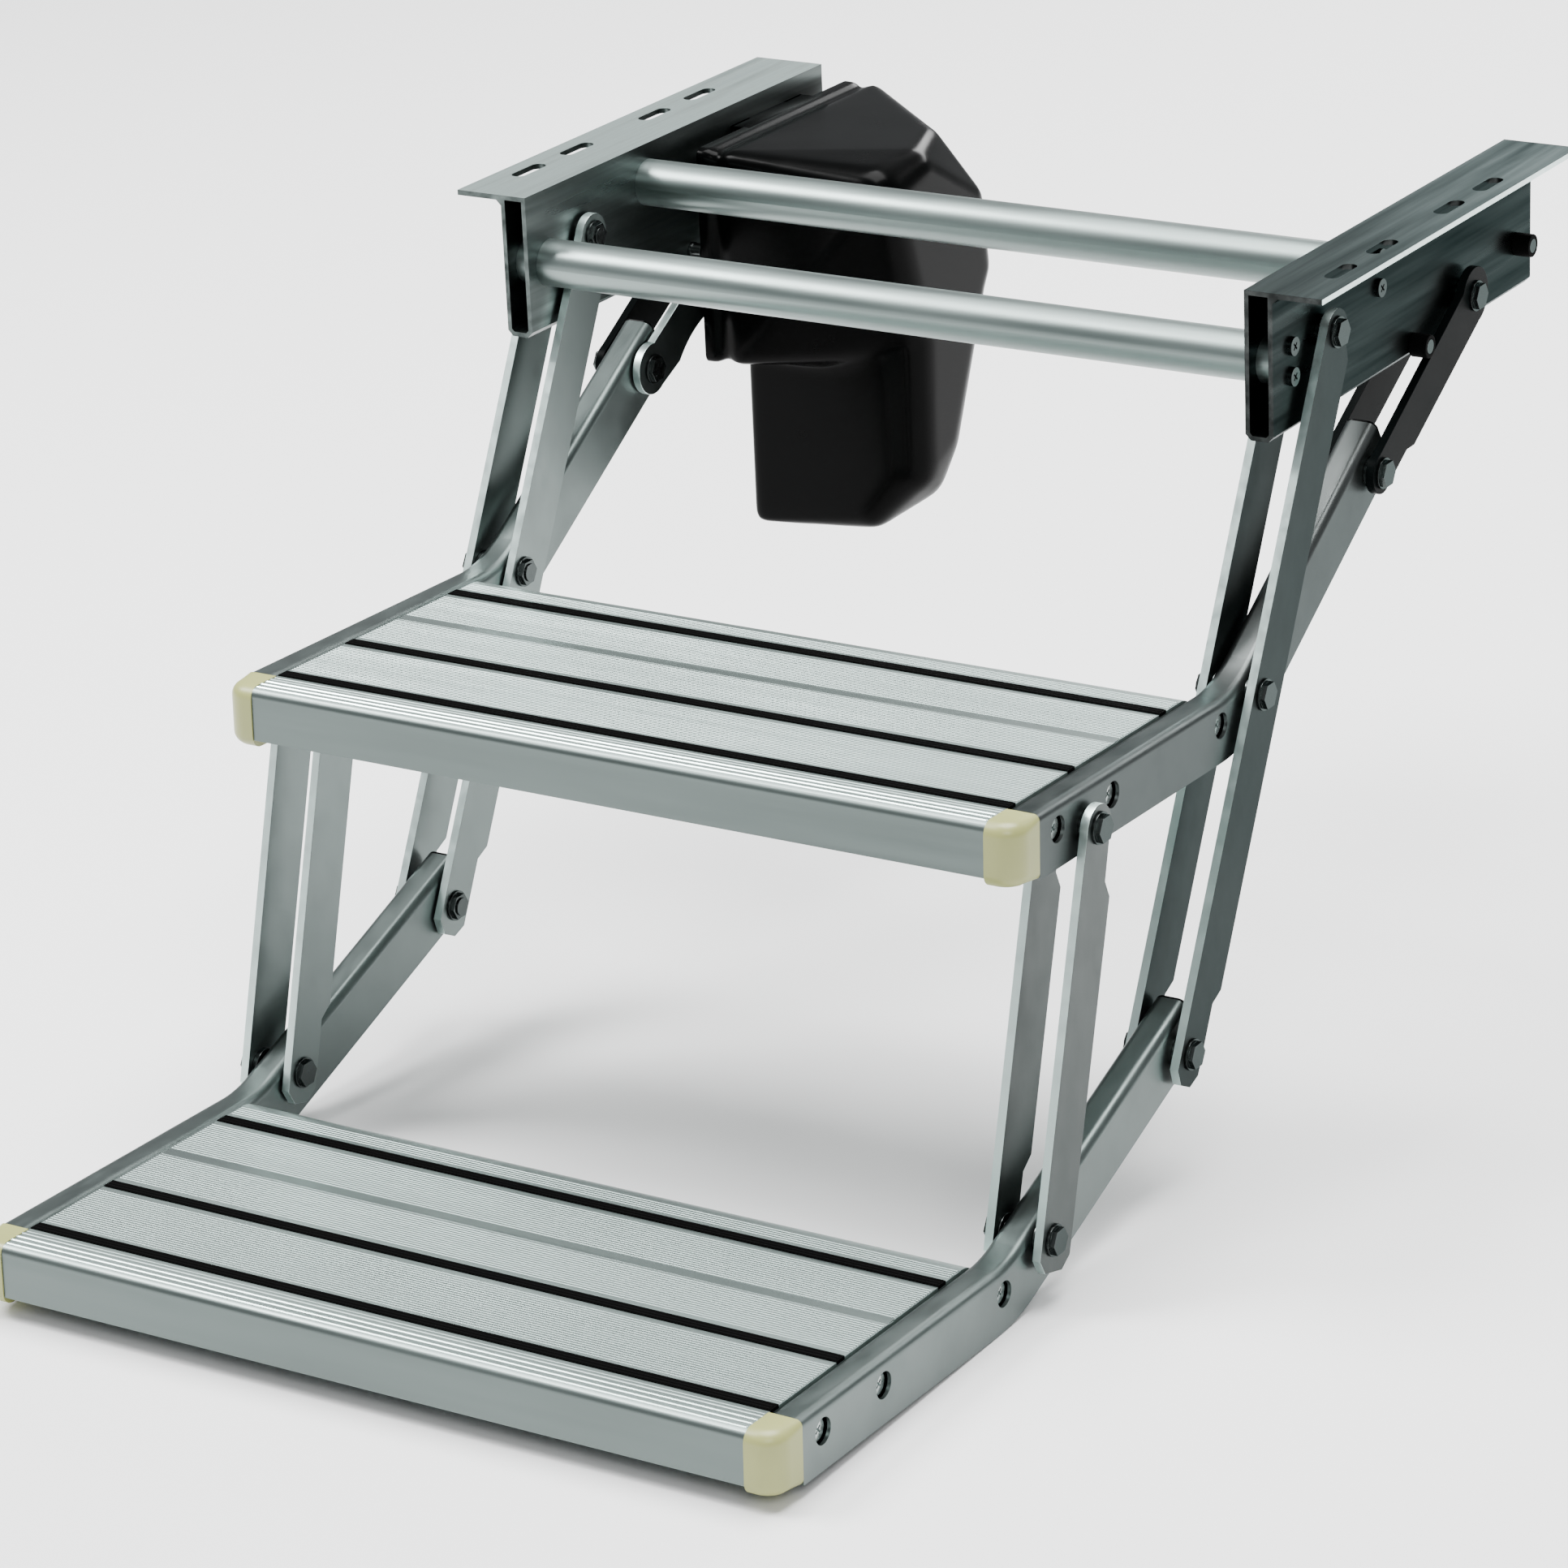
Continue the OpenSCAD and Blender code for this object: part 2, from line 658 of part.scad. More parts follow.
// side views drawn out over the tread's width
module long() {
    translate([0, side_in, 0]) rotate([90, 0, 0]) for (i = [0:$children - 1]) linear_extrude(tread_w) children(i);
}
module long_cut() {
    translate([0, side_in + cut, 0]) rotate([90, 0, 0])
        for (i = [0:$children - 1]) linear_extrude(tread_w + 2 * cut) children(i);
}
module rear_edge() {
    difference() {
        long() translate([rear_roll, -rear_roll]) circle(r = rear_roll);
        long_cut() {
            translate([rear_roll, -rear_roll]) circle(r = rear_roll - deck_t);
            translate([rear_roll, -3 * rear_roll]) square([2 * rear_roll, 4 * rear_roll]);
            translate([-cut, -3 * rear_roll]) square([3 * rear_roll, 2 * rear_roll]);
        }
    }
}
module tread() {
    difference() {
        union() {
            rear_edge();
            long() {
                translate([rear_roll, -deck_t]) square([tread_d - rear_roll - nose_round, deck_t]);
                translate([0, -lip_down]) square([deck_t, lip_down - rear_roll]);
                translate([tread_d - nose_round, -nose_round]) circle(r = nose_round);
                translate([tread_d - deck_t, -nosing_h]) square([deck_t, nosing_h - nose_round]);
                for (u = rib_us) translate([u, -rib_sunk]) circle(r = rib_r, $fn = 24);
                for (u = [screw_us[1], screw_us[2]]) translate([u - web_t / 2, screw_z])
                    square([web_t, -screw_z - deck_t / 2]);
                translate([deck_t / 2, screw_z - web_t / 2]) square([screw_us[0] - deck_t / 2, web_t]);
                for (u = screw_us) translate([u, screw_z]) circle(r = channel_r);
            }
        }
        long_cut() {
            for (u = strip_us) translate([u - strip_w / 2, -strip_deep]) square([strip_w, strip_deep + cut]);
            translate([band_u - band_w / 2, -band_deep]) square([band_w, band_deep + cut]);
            for (u = screw_us) translate([u, screw_z]) circle(r = screw_r + fit);
            for (u = screw_us) translate([u - 1, screw_z - channel_r - cut]) square([2, channel_r + cut]);
            translate([tread_d - nose_round, -nose_round]) circle(r = nose_round - deck_t);
            translate([nose_from, -2 * nose_round]) square([2 * nose_round, 2 * nose_round - deck_t]);
            translate([nose_from, -nosing_h - cut]) square([3 * nose_round - deck_t, nosing_h + cut - nose_round]);
        }
    }
}
module strips() {
    for (u = strip_us) translate([u - strip_w / 2, -side_in, -strip_deep])
        cube([strip_w, tread_w, strip_deep + strip_proud]);
}
cap_edge = 8;
cap_corner = 10;
cap_plug = 12;
cap_gap = 0.1;
module cap() {
    front = cap_from + cap_l;
    intersection() {
        slab(side_in, side_w) {
            translate([cap_from, side_mid - side_h / 2]) square([cap_l - cap_edge, side_h]);
            translate([cap_from, side_mid - side_h / 2 + cap_edge]) square([cap_l, side_h - 2 * cap_edge]);
            translate([front - cap_edge, side_mid + side_h / 2 - cap_edge]) circle(r = cap_edge);
            translate([front - cap_edge, side_mid - side_h / 2 + cap_edge]) circle(r = cap_edge);
        }
        translate([cap_from, side_in, side_mid - side_h]) {
            cube([cap_l, side_w - cap_corner, 2 * side_h]);
            cube([cap_l - cap_corner, side_w, 2 * side_h]);
            translate([cap_l - cap_corner, side_w - cap_corner, 0]) cylinder(h = 2 * side_h, r = cap_corner);
        }
    }
    translate([cap_from - cap_plug, side_in + side_wall + cap_gap, side_mid - side_h / 2 + side_wall + cap_gap])
        cube([cap_plug + cut, side_w - 2 * (side_wall + cap_gap), side_h - 2 * (side_wall + cap_gap) - side_round]);
}
plug_t = 1.6;
plug_in = 9;
module end_plug(bend_back, rise, behind) {
    translate([-bend_back, side_in, side_mid]) rotate([0, rise, 0]) {
        translate([-behind - plug_t, 0, 0]) side_bar(plug_t, side_w, side_h, side_round);
        translate([-behind - plug_t / 2, side_wall + cap_gap, -side_h / 2 + side_wall + cap_gap])
            cube([plug_in, side_w - 2 * (side_wall + cap_gap), side_h - 2 * (side_wall + cap_gap) - side_round]);
    }
}
// a screw with a shoulder on the inner wall and its head in the hole of the outer one
head_sunk = 3;
shoulder_r = 3.6;
module tread_screws() {
    for (u = screw_us) difference() {
        union() {
            rod([u, screw_z], side_in - screw_in, side_in + side_wall + 1, screw_r);
            rod([u, screw_z], side_in + side_wall, side_out - head_sunk - 1, shoulder_r);
            rod([u, screw_z], side_out - head_sunk - screw_head_t, side_out - head_sunk, screw_head_r + 0.6);
        }
        cross_recess([u, screw_z], side_out - head_sunk);
    }
}
module sleeves(pivots) {
    for (p = pivots) ring(p, side_in + side_wall, side_out - side_wall, sleeve_r, bore_r);
}
module pivot_washers(pivots) {
    for (p = pivots) {
        ring(p, side_out, outer_bar - slip, flange_r, bore_r);
        ring(p, inner_bar_face + slip, side_in, flange_r, bore_r);
    }
}
module upper_tread() {
    color(alu) on_step(upper_at) tread();
}
module lower_tread() {
    color(alu) on_step(lower_at) tread();
}
module upper_strips() {
    color(rubber) on_step(upper_at) strips();
}
module lower_strips() {
    color(rubber) on_step(lower_at) strips();
}
module upper_left_cap() {
    color(cream) left() on_step(upper_at) cap();
}
module upper_right_cap() {
    color(cream) on_step(upper_at) cap();
}
module lower_left_cap() {
    color(cream) left() on_step(lower_at) cap();
}
module lower_right_cap() {
    color(cream) on_step(lower_at) cap();
}
module upper_end_plugs() {
    color(dark) both() on_step(upper_at) end_plug(upper_bend_back, upper_bend, upper_behind);
}
module lower_end_plugs() {
    color(dark) both() on_step(lower_at) end_plug(lower_bend_back, lower_bend, lower_behind);
}
module upper_tread_screws() {
    color(steel) both() on_step(upper_at) tread_screws();
}
module lower_tread_screws() {
    color(steel) both() on_step(lower_at) tread_screws();
}
module upper_sleeves() {
    color(steel) both() on_step(upper_at) sleeves(upper_held);
}
module lower_sleeves() {
    color(steel) both() on_step(lower_at) sleeves([arm_lower_uv]);
}
module upper_pivot_bolts() {
    color(steel) both() for (p = [arm_mid, low_top]) bolt(p, nut_in - cut);
}
module upper_pivot_nuts() {
    color(steel) both() for (p = [arm_mid, low_top]) nut(p);
}
module upper_washers() {
    color(steel) both() on_step(upper_at) pivot_washers(upper_held);
}
module lower_pivot_bolts() {
    color(steel) both() bolt(arm_low, nut_in - cut);
}
module lower_pivot_nuts() {
    color(steel) both() nut(arm_low);
}
module lower_washers() {
    color(steel) both() on_step(lower_at) pivot_washers([arm_lower_uv]);
}

// motor, gearbox and cover, drawn on the right and put on the left
cover_at = rail_front - cover_back;
cover_from_side = 8;
cover_side = side_in - cover_from_side;
gear_out = cover_side - 11;
gear_in = gear_out - 75;
gear_l = 62;
gear_h = 54;
shaft_r = 7;
plate_t = 4;
post_r = 6;
post_bolt_r = 3;
post_back = [30, 95];
post_z = -27;
motor_in = gear_in + motor_d / 2;
motor_x = link_top[0] + 14;
motor_top = link_top[1] - gear_h / 2;
motor_l = 74;
motor_end_l = 12;
motor_end_r = 12;
bracket_l = 112;
bracket_h = 66;
module motor_bracket() {
    color(steel) left() difference() {
        union() {
            translate([cover_at - 12 - bracket_l, gear_out, post_z + 12 - bracket_h]) cube([bracket_l, plate_t, bracket_h]);
            for (b = post_back) rod([cover_at - b, post_z], gear_out + plate_t, rail_in, post_r);
        }
        rod(link_top, gear_out - cut, cover_side, shaft_r + 1);
        for (b = post_back) rod([cover_at - b, post_z], gear_out - cut, rail_in + cut, post_bolt_r + fit);
    }
}
module bracket_bolts() {
    color(steel) left() for (b = post_back) {
        rod([cover_at - b, post_z], gear_out - cut, rail_in + 2 * rail_wall, post_bolt_r);
        rod([cover_at - b, post_z], gear_out - post_bolt_r, gear_out, 2 * post_bolt_r - cut);
    }
}
module gearbox() {
    color(dark) left() difference() {
        translate([link_top[0] - gear_l / 2, gear_in, link_top[1] - gear_h / 2]) cube([gear_l, gear_out - gear_in, gear_h]);
        rod(link_top, gear_in - cut, gear_out + cut, shaft_r + run);
        for (b = post_back) rod([cover_at - b, post_z], gear_out - 5, gear_out + cut, 6);
    }
}
module motor() {
    color(dark) left() {
        translate([motor_x, motor_in, motor_top - motor_l]) cylinder(h = motor_l, r = motor_d / 2);
        translate([motor_x, motor_in, motor_top - motor_l - motor_end_l]) cylinder(h = motor_end_l + cut, r = motor_end_r);
    }
}

tab_at = [52, 110];
tab_l = 20;
tab_down = 36;
tab_t = 2.5;
tab_screw_z = -29;
pocket_from = 12;
pocket_mid = 97;
// middles of the cover's rounded corners: distance behind its front, depth below the flange face
near_side = [[cover_round, cover_top + cover_round], [cover_d - cover_round, cover_top + cover_round],
    [cover_d - cover_round, cover_low / 2], [cover_d - 26, cover_low - cover_round],
    [cover_round, cover_low - cover_round]];
far_side = [[cover_round, cover_top - 1 + cover_round], [cover_side_d / 2 - cover_round, cover_top - 7 + cover_round],
    [cover_side_d - 8 - cover_round, 58], [cover_side_d - cover_round, 98],
    [cover_side_d - 22 - cover_round, cover_low - cover_round], [cover_round, cover_low - cover_round]];
pocket_near = [[pocket_back + cover_round, 115], [cover_side_d - 12, 115],
    [pocket_back + 35 - cover_round, pocket_low - cover_round], [pocket_back + cover_round, pocket_low - cover_round]];
pocket_middle = [[pocket_back + cover_round, 115], [cover_side_d - 12, 115],
    [pocket_back + 24 - cover_round, pocket_low - 14 - cover_round],
    [pocket_back + cover_round, pocket_low - 14 - cover_round]];
pocket_far = [[pocket_back + cover_round, 115], [cover_side_d - 9 - cover_round, 115],
    [pocket_back + 30 - cover_round, pocket_low - 48], [pocket_back + cover_round, pocket_low - 45]];
module corners(y, list, r) {
    for (p = list) translate([cover_at - p[0], y, -p[1]]) sphere(r = r, $fn = 20);
}
module cover_body(r) {
    hull() {
        corners(cover_side + cover_round, near_side, r);
        corners(cover_side - cover_w + cover_round, far_side, r);
    }
    hull() {
        corners(cover_side - pocket_from - cover_round, pocket_near, r);
        corners(cover_side - pocket_mid, pocket_middle, r);
        corners(cover_side - cover_w + cover_round, pocket_far, r);
    }
}
module motor_cover() {
    color(dark) left() {
        difference() {
            cover_body(cover_round);
            cover_body(cover_round - cover_wall);
            translate([cover_at - 2 * cover_d, cover_side, -pocket_low]) cube([3 * cover_d, cover_w, pocket_low]);
        }
        translate([cover_at - tab_at[1] - tab_l, cover_side - tab_t, -cover_top - tab_t])
            cube([tab_at[1] + tab_l - tab_at[0], rail_in - cover_side + tab_t - fit, tab_t]);
        for (b = tab_at) difference() {
            translate([cover_at - b - tab_l, rail_in - fit - tab_t, -tab_down])
                cube([tab_l, tab_t, tab_down - cover_top]);
            rod([cover_at - b - tab_l / 2, tab_screw_z], rail_in - 2 * tab_t, rail_in, screw_r + fit);
        }
    }
}
module cover_screws() {
    color(steel) left() for (b = tab_at) {
        rod([cover_at - b - tab_l / 2, tab_screw_z], rail_in - fit - tab_t - screw_head_t, rail_in - fit - tab_t, screw_head_r);
        rod([cover_at - b - tab_l / 2, tab_screw_z], rail_in - tab_t - cut, rail_in + 2 * rail_wall, screw_r);
    }
}

left_rail();
right_rail();
front_tube();
rear_tube();
tube_screws();
rail_sleeves();
stop_studs();
stop_buffers();
rail_spacers();
rail_pivot_bolts();
rail_pivot_nuts();
motor_bracket();
bracket_bolts();
gearbox();
motor();
drive_shaft();
motor_cover();
cover_screws();
left_outer_arm();
left_inner_arm();
right_outer_arm();
right_inner_arm();
left_outer_rear_link();
drive_link();
right_outer_rear_link();
right_inner_rear_link();
knee_bolts();
knee_washers();
upper_left_side();
upper_right_side();
upper_tread();
upper_strips();
upper_left_cap();
upper_right_cap();
upper_end_plugs();
upper_tread_screws();
upper_sleeves();
upper_pivot_bolts();
upper_pivot_nuts();
upper_washers();
left_outer_low_link();
left_inner_low_link();
right_outer_low_link();
right_inner_low_link();
low_link_bolts();
low_link_washers();
lower_left_side();
lower_right_side();
lower_tread();
lower_strips();
lower_left_cap();
lower_right_cap();
lower_end_plugs();
lower_tread_screws();
lower_sleeves();
lower_pivot_bolts();
lower_pivot_nuts();
lower_washers();
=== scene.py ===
"""Caravan entry step: finishes, fine shapes, floor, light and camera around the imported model."""

import json
import math

import bpy
from mathutils import Matrix, Vector


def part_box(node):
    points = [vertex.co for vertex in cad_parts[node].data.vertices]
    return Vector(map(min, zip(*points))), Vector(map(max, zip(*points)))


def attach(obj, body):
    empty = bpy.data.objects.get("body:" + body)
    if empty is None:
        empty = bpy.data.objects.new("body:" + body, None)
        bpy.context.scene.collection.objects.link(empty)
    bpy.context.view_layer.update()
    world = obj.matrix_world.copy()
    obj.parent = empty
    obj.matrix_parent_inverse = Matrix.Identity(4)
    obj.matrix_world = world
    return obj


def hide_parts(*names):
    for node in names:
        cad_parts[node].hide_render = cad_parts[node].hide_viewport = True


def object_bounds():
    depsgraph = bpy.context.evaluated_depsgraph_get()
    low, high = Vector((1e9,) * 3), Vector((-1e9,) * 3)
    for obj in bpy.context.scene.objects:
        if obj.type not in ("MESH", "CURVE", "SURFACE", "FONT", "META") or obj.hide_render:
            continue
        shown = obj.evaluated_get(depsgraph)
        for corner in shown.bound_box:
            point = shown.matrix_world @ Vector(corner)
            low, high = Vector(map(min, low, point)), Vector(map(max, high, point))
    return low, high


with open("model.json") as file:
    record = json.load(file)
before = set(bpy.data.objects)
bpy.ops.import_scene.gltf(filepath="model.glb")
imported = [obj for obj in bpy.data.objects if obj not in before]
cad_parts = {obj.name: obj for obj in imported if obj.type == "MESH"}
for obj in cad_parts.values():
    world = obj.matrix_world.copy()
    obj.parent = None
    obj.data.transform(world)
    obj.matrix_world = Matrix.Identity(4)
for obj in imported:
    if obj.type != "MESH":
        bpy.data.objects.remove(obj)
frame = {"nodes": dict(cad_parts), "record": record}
CAD_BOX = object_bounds()

bl_info = {
    "name": "Caravan entry step",
    "version": (1, 0, 0),
    "blender": (4, 5, 0),
    "location": "View3D > Sidebar > Entry step",
    "description": "Dresses the folding entry step and sets it on a studio floor",
    "category": "Object",
}

MM = 0.001
RECORD = frame["record"]
BODY_OF = {}
for body_name, members in RECORD["behaviour"]["bodies"].items():
    for member in members:
        BODY_OF[member] = body_name
SLOT_OF = {row["node"]: row["material_slot"] for row in RECORD["subparts"]}


# Sizes and colours that a user would change

class StepSizes(bpy.types.PropertyGroup):
    edge: bpy.props.FloatProperty(
        name="Edge softness", description="Width of the small bevel on metal edges",
        default=0.35 * MM, min=0.0, max=1.0 * MM, unit="LENGTH", precision=5)
    rib_pitch: bpy.props.FloatProperty(
        name="Rib pitch", description="Distance between two grip ribs of a tread",
        default=2.2 * MM, min=1.5 * MM, max=4.0 * MM, unit="LENGTH", precision=5)
    rib_height: bpy.props.FloatProperty(
        name="Rib height", description="Height of the grip ribs over the deck",
        default=0.4 * MM, min=0.1 * MM, max=1.0 * MM, unit="LENGTH", precision=5)
    ridge_height: bpy.props.FloatProperty(
        name="Strip ridge height", description="Height of the ridges on a rubber strip",
        default=0.5 * MM, min=0.1 * MM, max=1.0 * MM, unit="LENGTH", precision=5)


class StepColours(bpy.types.PropertyGroup):
    aluminium: bpy.props.FloatVectorProperty(
        name="Aluminium", description="Colour of the drawn aluminium", subtype="COLOR",
        default=(0.44, 0.53, 0.51), min=0.0, max=1.0)
    # painted shade: a darker copy of the aluminium for the right-hand rail, bars and side tube
    dull: bpy.props.FloatVectorProperty(
        name="Shaded metal", description="Colour of the darker right-hand rail and bars", subtype="COLOR",
        default=(0.485, 0.53, 0.522), min=0.0, max=1.0)
    zinc: bpy.props.FloatVectorProperty(
        name="Zinc", description="Colour of bolts, nuts and washers", subtype="COLOR",
        default=(0.46, 0.51, 0.50), min=0.0, max=1.0)
    cream: bpy.props.FloatVectorProperty(
        name="Cream", description="Colour of the corner caps", subtype="COLOR",
        default=(0.27, 0.28, 0.10), min=0.0, max=1.0)
    black: bpy.props.FloatVectorProperty(
        name="Black", description="Colour of the motor cover", subtype="COLOR",
        default=(0.0005, 0.0006, 0.0006), min=0.0, max=1.0)
    floor: bpy.props.FloatVectorProperty(
        name="Floor", description="Colour of the studio floor", subtype="COLOR",
        default=(0.80, 0.80, 0.80), min=0.0, max=1.0)


class StageSettings(bpy.types.PropertyGroup):
    place: bpy.props.FloatVectorProperty(
        name="Camera place", description="Where the camera stands", subtype="TRANSLATION",
        default=(2.65494, 1.51199, 0.84083))
    yaw: bpy.props.FloatProperty(
        name="Yaw", description="Turn of the camera about the vertical",
        default=math.radians(32.16), subtype="ANGLE")
    pitch: bpy.props.FloatProperty(
        name="Pitch", description="Tilt of the camera", default=math.radians(-21.35), subtype="ANGLE")
    roll: bpy.props.FloatProperty(
        name="Roll", description="Roll of the camera", default=math.radians(-2.5), subtype="ANGLE")
    lens: bpy.props.FloatProperty(
        name="Lens", description="Focal length in millimetres", default=131.53, min=50.0, max=300.0)


# Materials

def new_material(name):
    material = bpy.data.materials.new(name)
    material.use_nodes = True
    return material, material.node_tree, material.node_tree.nodes["Principled BSDF"]


def grain(tree, scale, detail=3.0, stretch=(1.0, 1.0, 1.0)):
    """Noise on the piece's own coordinates, stretched along its grain."""
    place = tree.nodes.new("ShaderNodeTexCoord")
    mapping = tree.nodes.new("ShaderNodeMapping")
    noise = tree.nodes.new("ShaderNodeTexNoise")
    mapping.inputs["Scale"].default_value = stretch
    noise.inputs["Scale"].default_value = scale
    noise.inputs["Detail"].default_value = detail
    tree.links.new(place.outputs["Object"], mapping.inputs["Vector"])
    tree.links.new(mapping.outputs["Vector"], noise.inputs["Vector"])
    return noise.outputs["Fac"]


def spread(tree, source, low, high):
    """A value between two others, led by the middle range of the noise."""
    node = tree.nodes.new("ShaderNodeMapRange")
    for key, value in (("From Min", 0.3), ("From Max", 0.7), ("To Min", low), ("To Max", high)):
        node.inputs[key].default_value = value
    tree.links.new(source, node.inputs["Value"])
    return node.outputs["Result"]


def tinted(tree, source, dark, light):
    """A colour between two shades, led by a value."""
    ramp = tree.nodes.new("ShaderNodeValToRGB")
    ramp.color_ramp.elements[0].position = 0.3
    ramp.color_ramp.elements[1].position = 0.72
    ramp.color_ramp.elements[0].color = (*dark, 1.0)
    ramp.color_ramp.elements[1].color = (*light, 1.0)
    tree.links.new(source, ramp.inputs["Fac"])
    return ramp.outputs["Color"]


def bumped(tree, shader, source, strength, distance):
    bump = tree.nodes.new("ShaderNodeBump")
    bump.inputs["Strength"].default_value = strength
    bump.inputs["Distance"].default_value = distance
    tree.links.new(source, bump.inputs["Height"])
    tree.links.new(bump.outputs["Normal"], shader.inputs["Normal"])


def shade(colour, factor):
    return tuple(min(1.0, part * factor) for part in colour)


# the way that the grain of a piece runs
RAIL_LENGTH = (0.6, 14.0, 14.0)
TREAD_LENGTH = (1.0, 0.04, 1.0)
TUBE_LENGTH = (1.0, 0.05, 1.0)
SIDE_LENGTH = (0.3, 1.0, 0.3)
BAR_LENGTH = (0.4, 1.0, 0.25)
NO_GRAIN = (1.0, 1.0, 1.0)
# how much of a raking light a metal throws back; the second dims the steel, and also the right-hand
# copies as painted shade
BRIGHT = (1.0, 1.0, 1.0, 1.0)
DULL_AND_SHADED = (0.42, 0.45, 0.45, 1.0)


def drawn_metal(name, colour, rough, contrast, stretch, scale=60.0, bump=0.03, tint=BRIGHT):
    """Drawn or rolled metal, with fine lines along its length and soft stains."""
    material, tree, shader = new_material(name)
    shader.inputs["Metallic"].default_value = 1.0
    shader.inputs["Specular Tint"].default_value = tint
    lines = grain(tree, scale, 4.0, stretch)
    stains = grain(tree, 9.0, 3.0)
    stained = tinted(tree, stains, shade(colour, 1.0 - contrast), shade(colour, 1.0 + contrast / 2))
    tree.links.new(stained, shader.inputs["Base Color"])
    tree.links.new(spread(tree, lines, rough - 0.05, rough + 0.06), shader.inputs["Roughness"])
    bumped(tree, shader, lines, bump, 0.0002)
    return material


def mill_metal(name, colour, rough, tint=BRIGHT):
    """Bare extruded metal: light and dark streaks along its length."""
    material, tree, shader = new_material(name)
    shader.inputs["Metallic"].default_value = 1.0
    shader.inputs["Specular Tint"].default_value = tint
    streaks = grain(tree, 8.0, 6.0, RAIL_LENGTH)
    tree.links.new(tinted(tree, streaks, shade(colour, 0.45), shade(colour, 1.5)),
                   shader.inputs["Base Color"])
    tree.links.new(spread(tree, streaks, rough + 0.1, rough - 0.08), shader.inputs["Roughness"])
    bumped(tree, shader, streaks, 0.06, 0.0002)
    return material


def plastic(name, colour, rough, bump=0.15, scale=900.0, gloss=0.5):
    material, tree, shader = new_material(name)
    wear = grain(tree, 22.0, 4.0)
    worn = tinted(tree, wear, shade(colour, 0.9), shade(colour, 1.06))
    tree.links.new(worn, shader.inputs["Base Color"])
    tree.links.new(spread(tree, wear, rough - 0.04, rough + 0.06), shader.inputs["Roughness"])
    shader.inputs["Specular IOR Level"].default_value = gloss
    bumped(tree, shader, grain(tree, scale, 2.0), bump, 0.0001)
    return material


def all_materials(colours):
    alu = tuple(colours.aluminium)
    dull = tuple(colours.dull)
    zinc = tuple(colours.zinc)
    return {
        # the left rail and flange are lit copies of the metal and the right ones darker copies: painted
        # light and painted shade
        "left_rail_alu": mill_metal("left_rail_metal", shade(alu, 0.17), 0.34),
        "right_rail_alu": mill_metal("right_rail_metal", shade(dull, 0.06), 0.32, DULL_AND_SHADED),
        # the flange tops are lighter copies of the rail metal: painted light from above
        "left_flange_alu": mill_metal("left_flange_metal", shade(alu, 1.0), 0.40),
        "right_flange_alu": mill_metal("right_flange_metal", shade(dull, 0.12), 0.38, DULL_AND_SHADED),
        "tube_alu": drawn_metal(
            "anodised_tube", shade(alu, 0.50), 0.36, 0.04, TUBE_LENGTH, 120.0, 0.01),
        "tread_alu": drawn_metal(
            "anodised_tread", shade(alu, 0.62), 0.44, 0.05, TREAD_LENGTH, 120.0),
        # a darker copy for the tread's front face: painted shade
        "shaded_nosing_alu": drawn_metal(
            "satin_nosing", shade(alu, 0.27), 0.40, 0.04, TREAD_LENGTH, 120.0, 0.01),
        "band_alu": drawn_metal(
            "smooth_band", shade(alu, 0.44), 0.40, 0.05, TREAD_LENGTH, 120.0),
        # a much brighter copy for the nosing beads: painted highlight
        "highlight_bead_alu": drawn_metal(
            "polished_bead", shade(alu, 1.8), 0.30, 0.03, TREAD_LENGTH, 120.0),
        # the right-hand upper side tube wears a darker copy: painted shade
        "side_alu": drawn_metal(
            "satin_side_tube", shade(alu, 0.26), 0.38, 0.07, SIDE_LENGTH, 140.0),
        "shaded_side_alu": drawn_metal(
            "dull_side_tube", shade(dull, 0.19), 0.38, 0.07, SIDE_LENGTH, 140.0, tint=DULL_AND_SHADED),
        # the left bars are a lighter copy and the right bars and arms darker copies of one metal:
        # painted light and painted shade
        "left_bar_alu": drawn_metal(
            "bright_bar", shade(alu, 0.30), 0.36, 0.09, BAR_LENGTH, 150.0),
        "right_bar_alu": drawn_metal(
            "rolled_bar", shade(alu, 0.10), 0.36, 0.09, BAR_LENGTH, 150.0),
        "dull_bar_alu": drawn_metal(
            "dull_bar", shade(dull, 0.095), 0.36, 0.12, BAR_LENGTH, 150.0, tint=DULL_AND_SHADED),
        # a brighter copy for the sawn edges of bars and flanges: painted highlight
        "highlight_edge_alu": drawn_metal(
            "sawn_bar_edge", shade(alu, 1.5), 0.36, 0.05, NO_GRAIN, 150.0),
        "steel": drawn_metal(
            "zinc_plated_steel", shade(zinc, 0.16), 0.22, 0.12, NO_GRAIN, 300.0, tint=DULL_AND_SHADED),
        "bright_steel": drawn_metal(
            "bright_screw", shade(zinc, 0.95), 0.20, 0.08, NO_GRAIN, 300.0),
        "black_paint": plastic("satin_black_paint", (0.002, 0.003, 0.003), 0.36, 0.08, gloss=0.015),
        "dark_metal": plastic("dark_motor_finish", (0.012, 0.012, 0.012), 0.45),
        "black_plastic": plastic(
            "moulded_black_cover", tuple(colours.black), 0.22, 0.0, 1400.0, 0.04),
        "cream_plastic": plastic("cream_corner_cap", tuple(colours.cream), 0.36, 0.03),
        "rubber": plastic("black_rubber", (0.0015, 0.0015, 0.0015), 0.65, 0.1, gloss=0.02),
    }


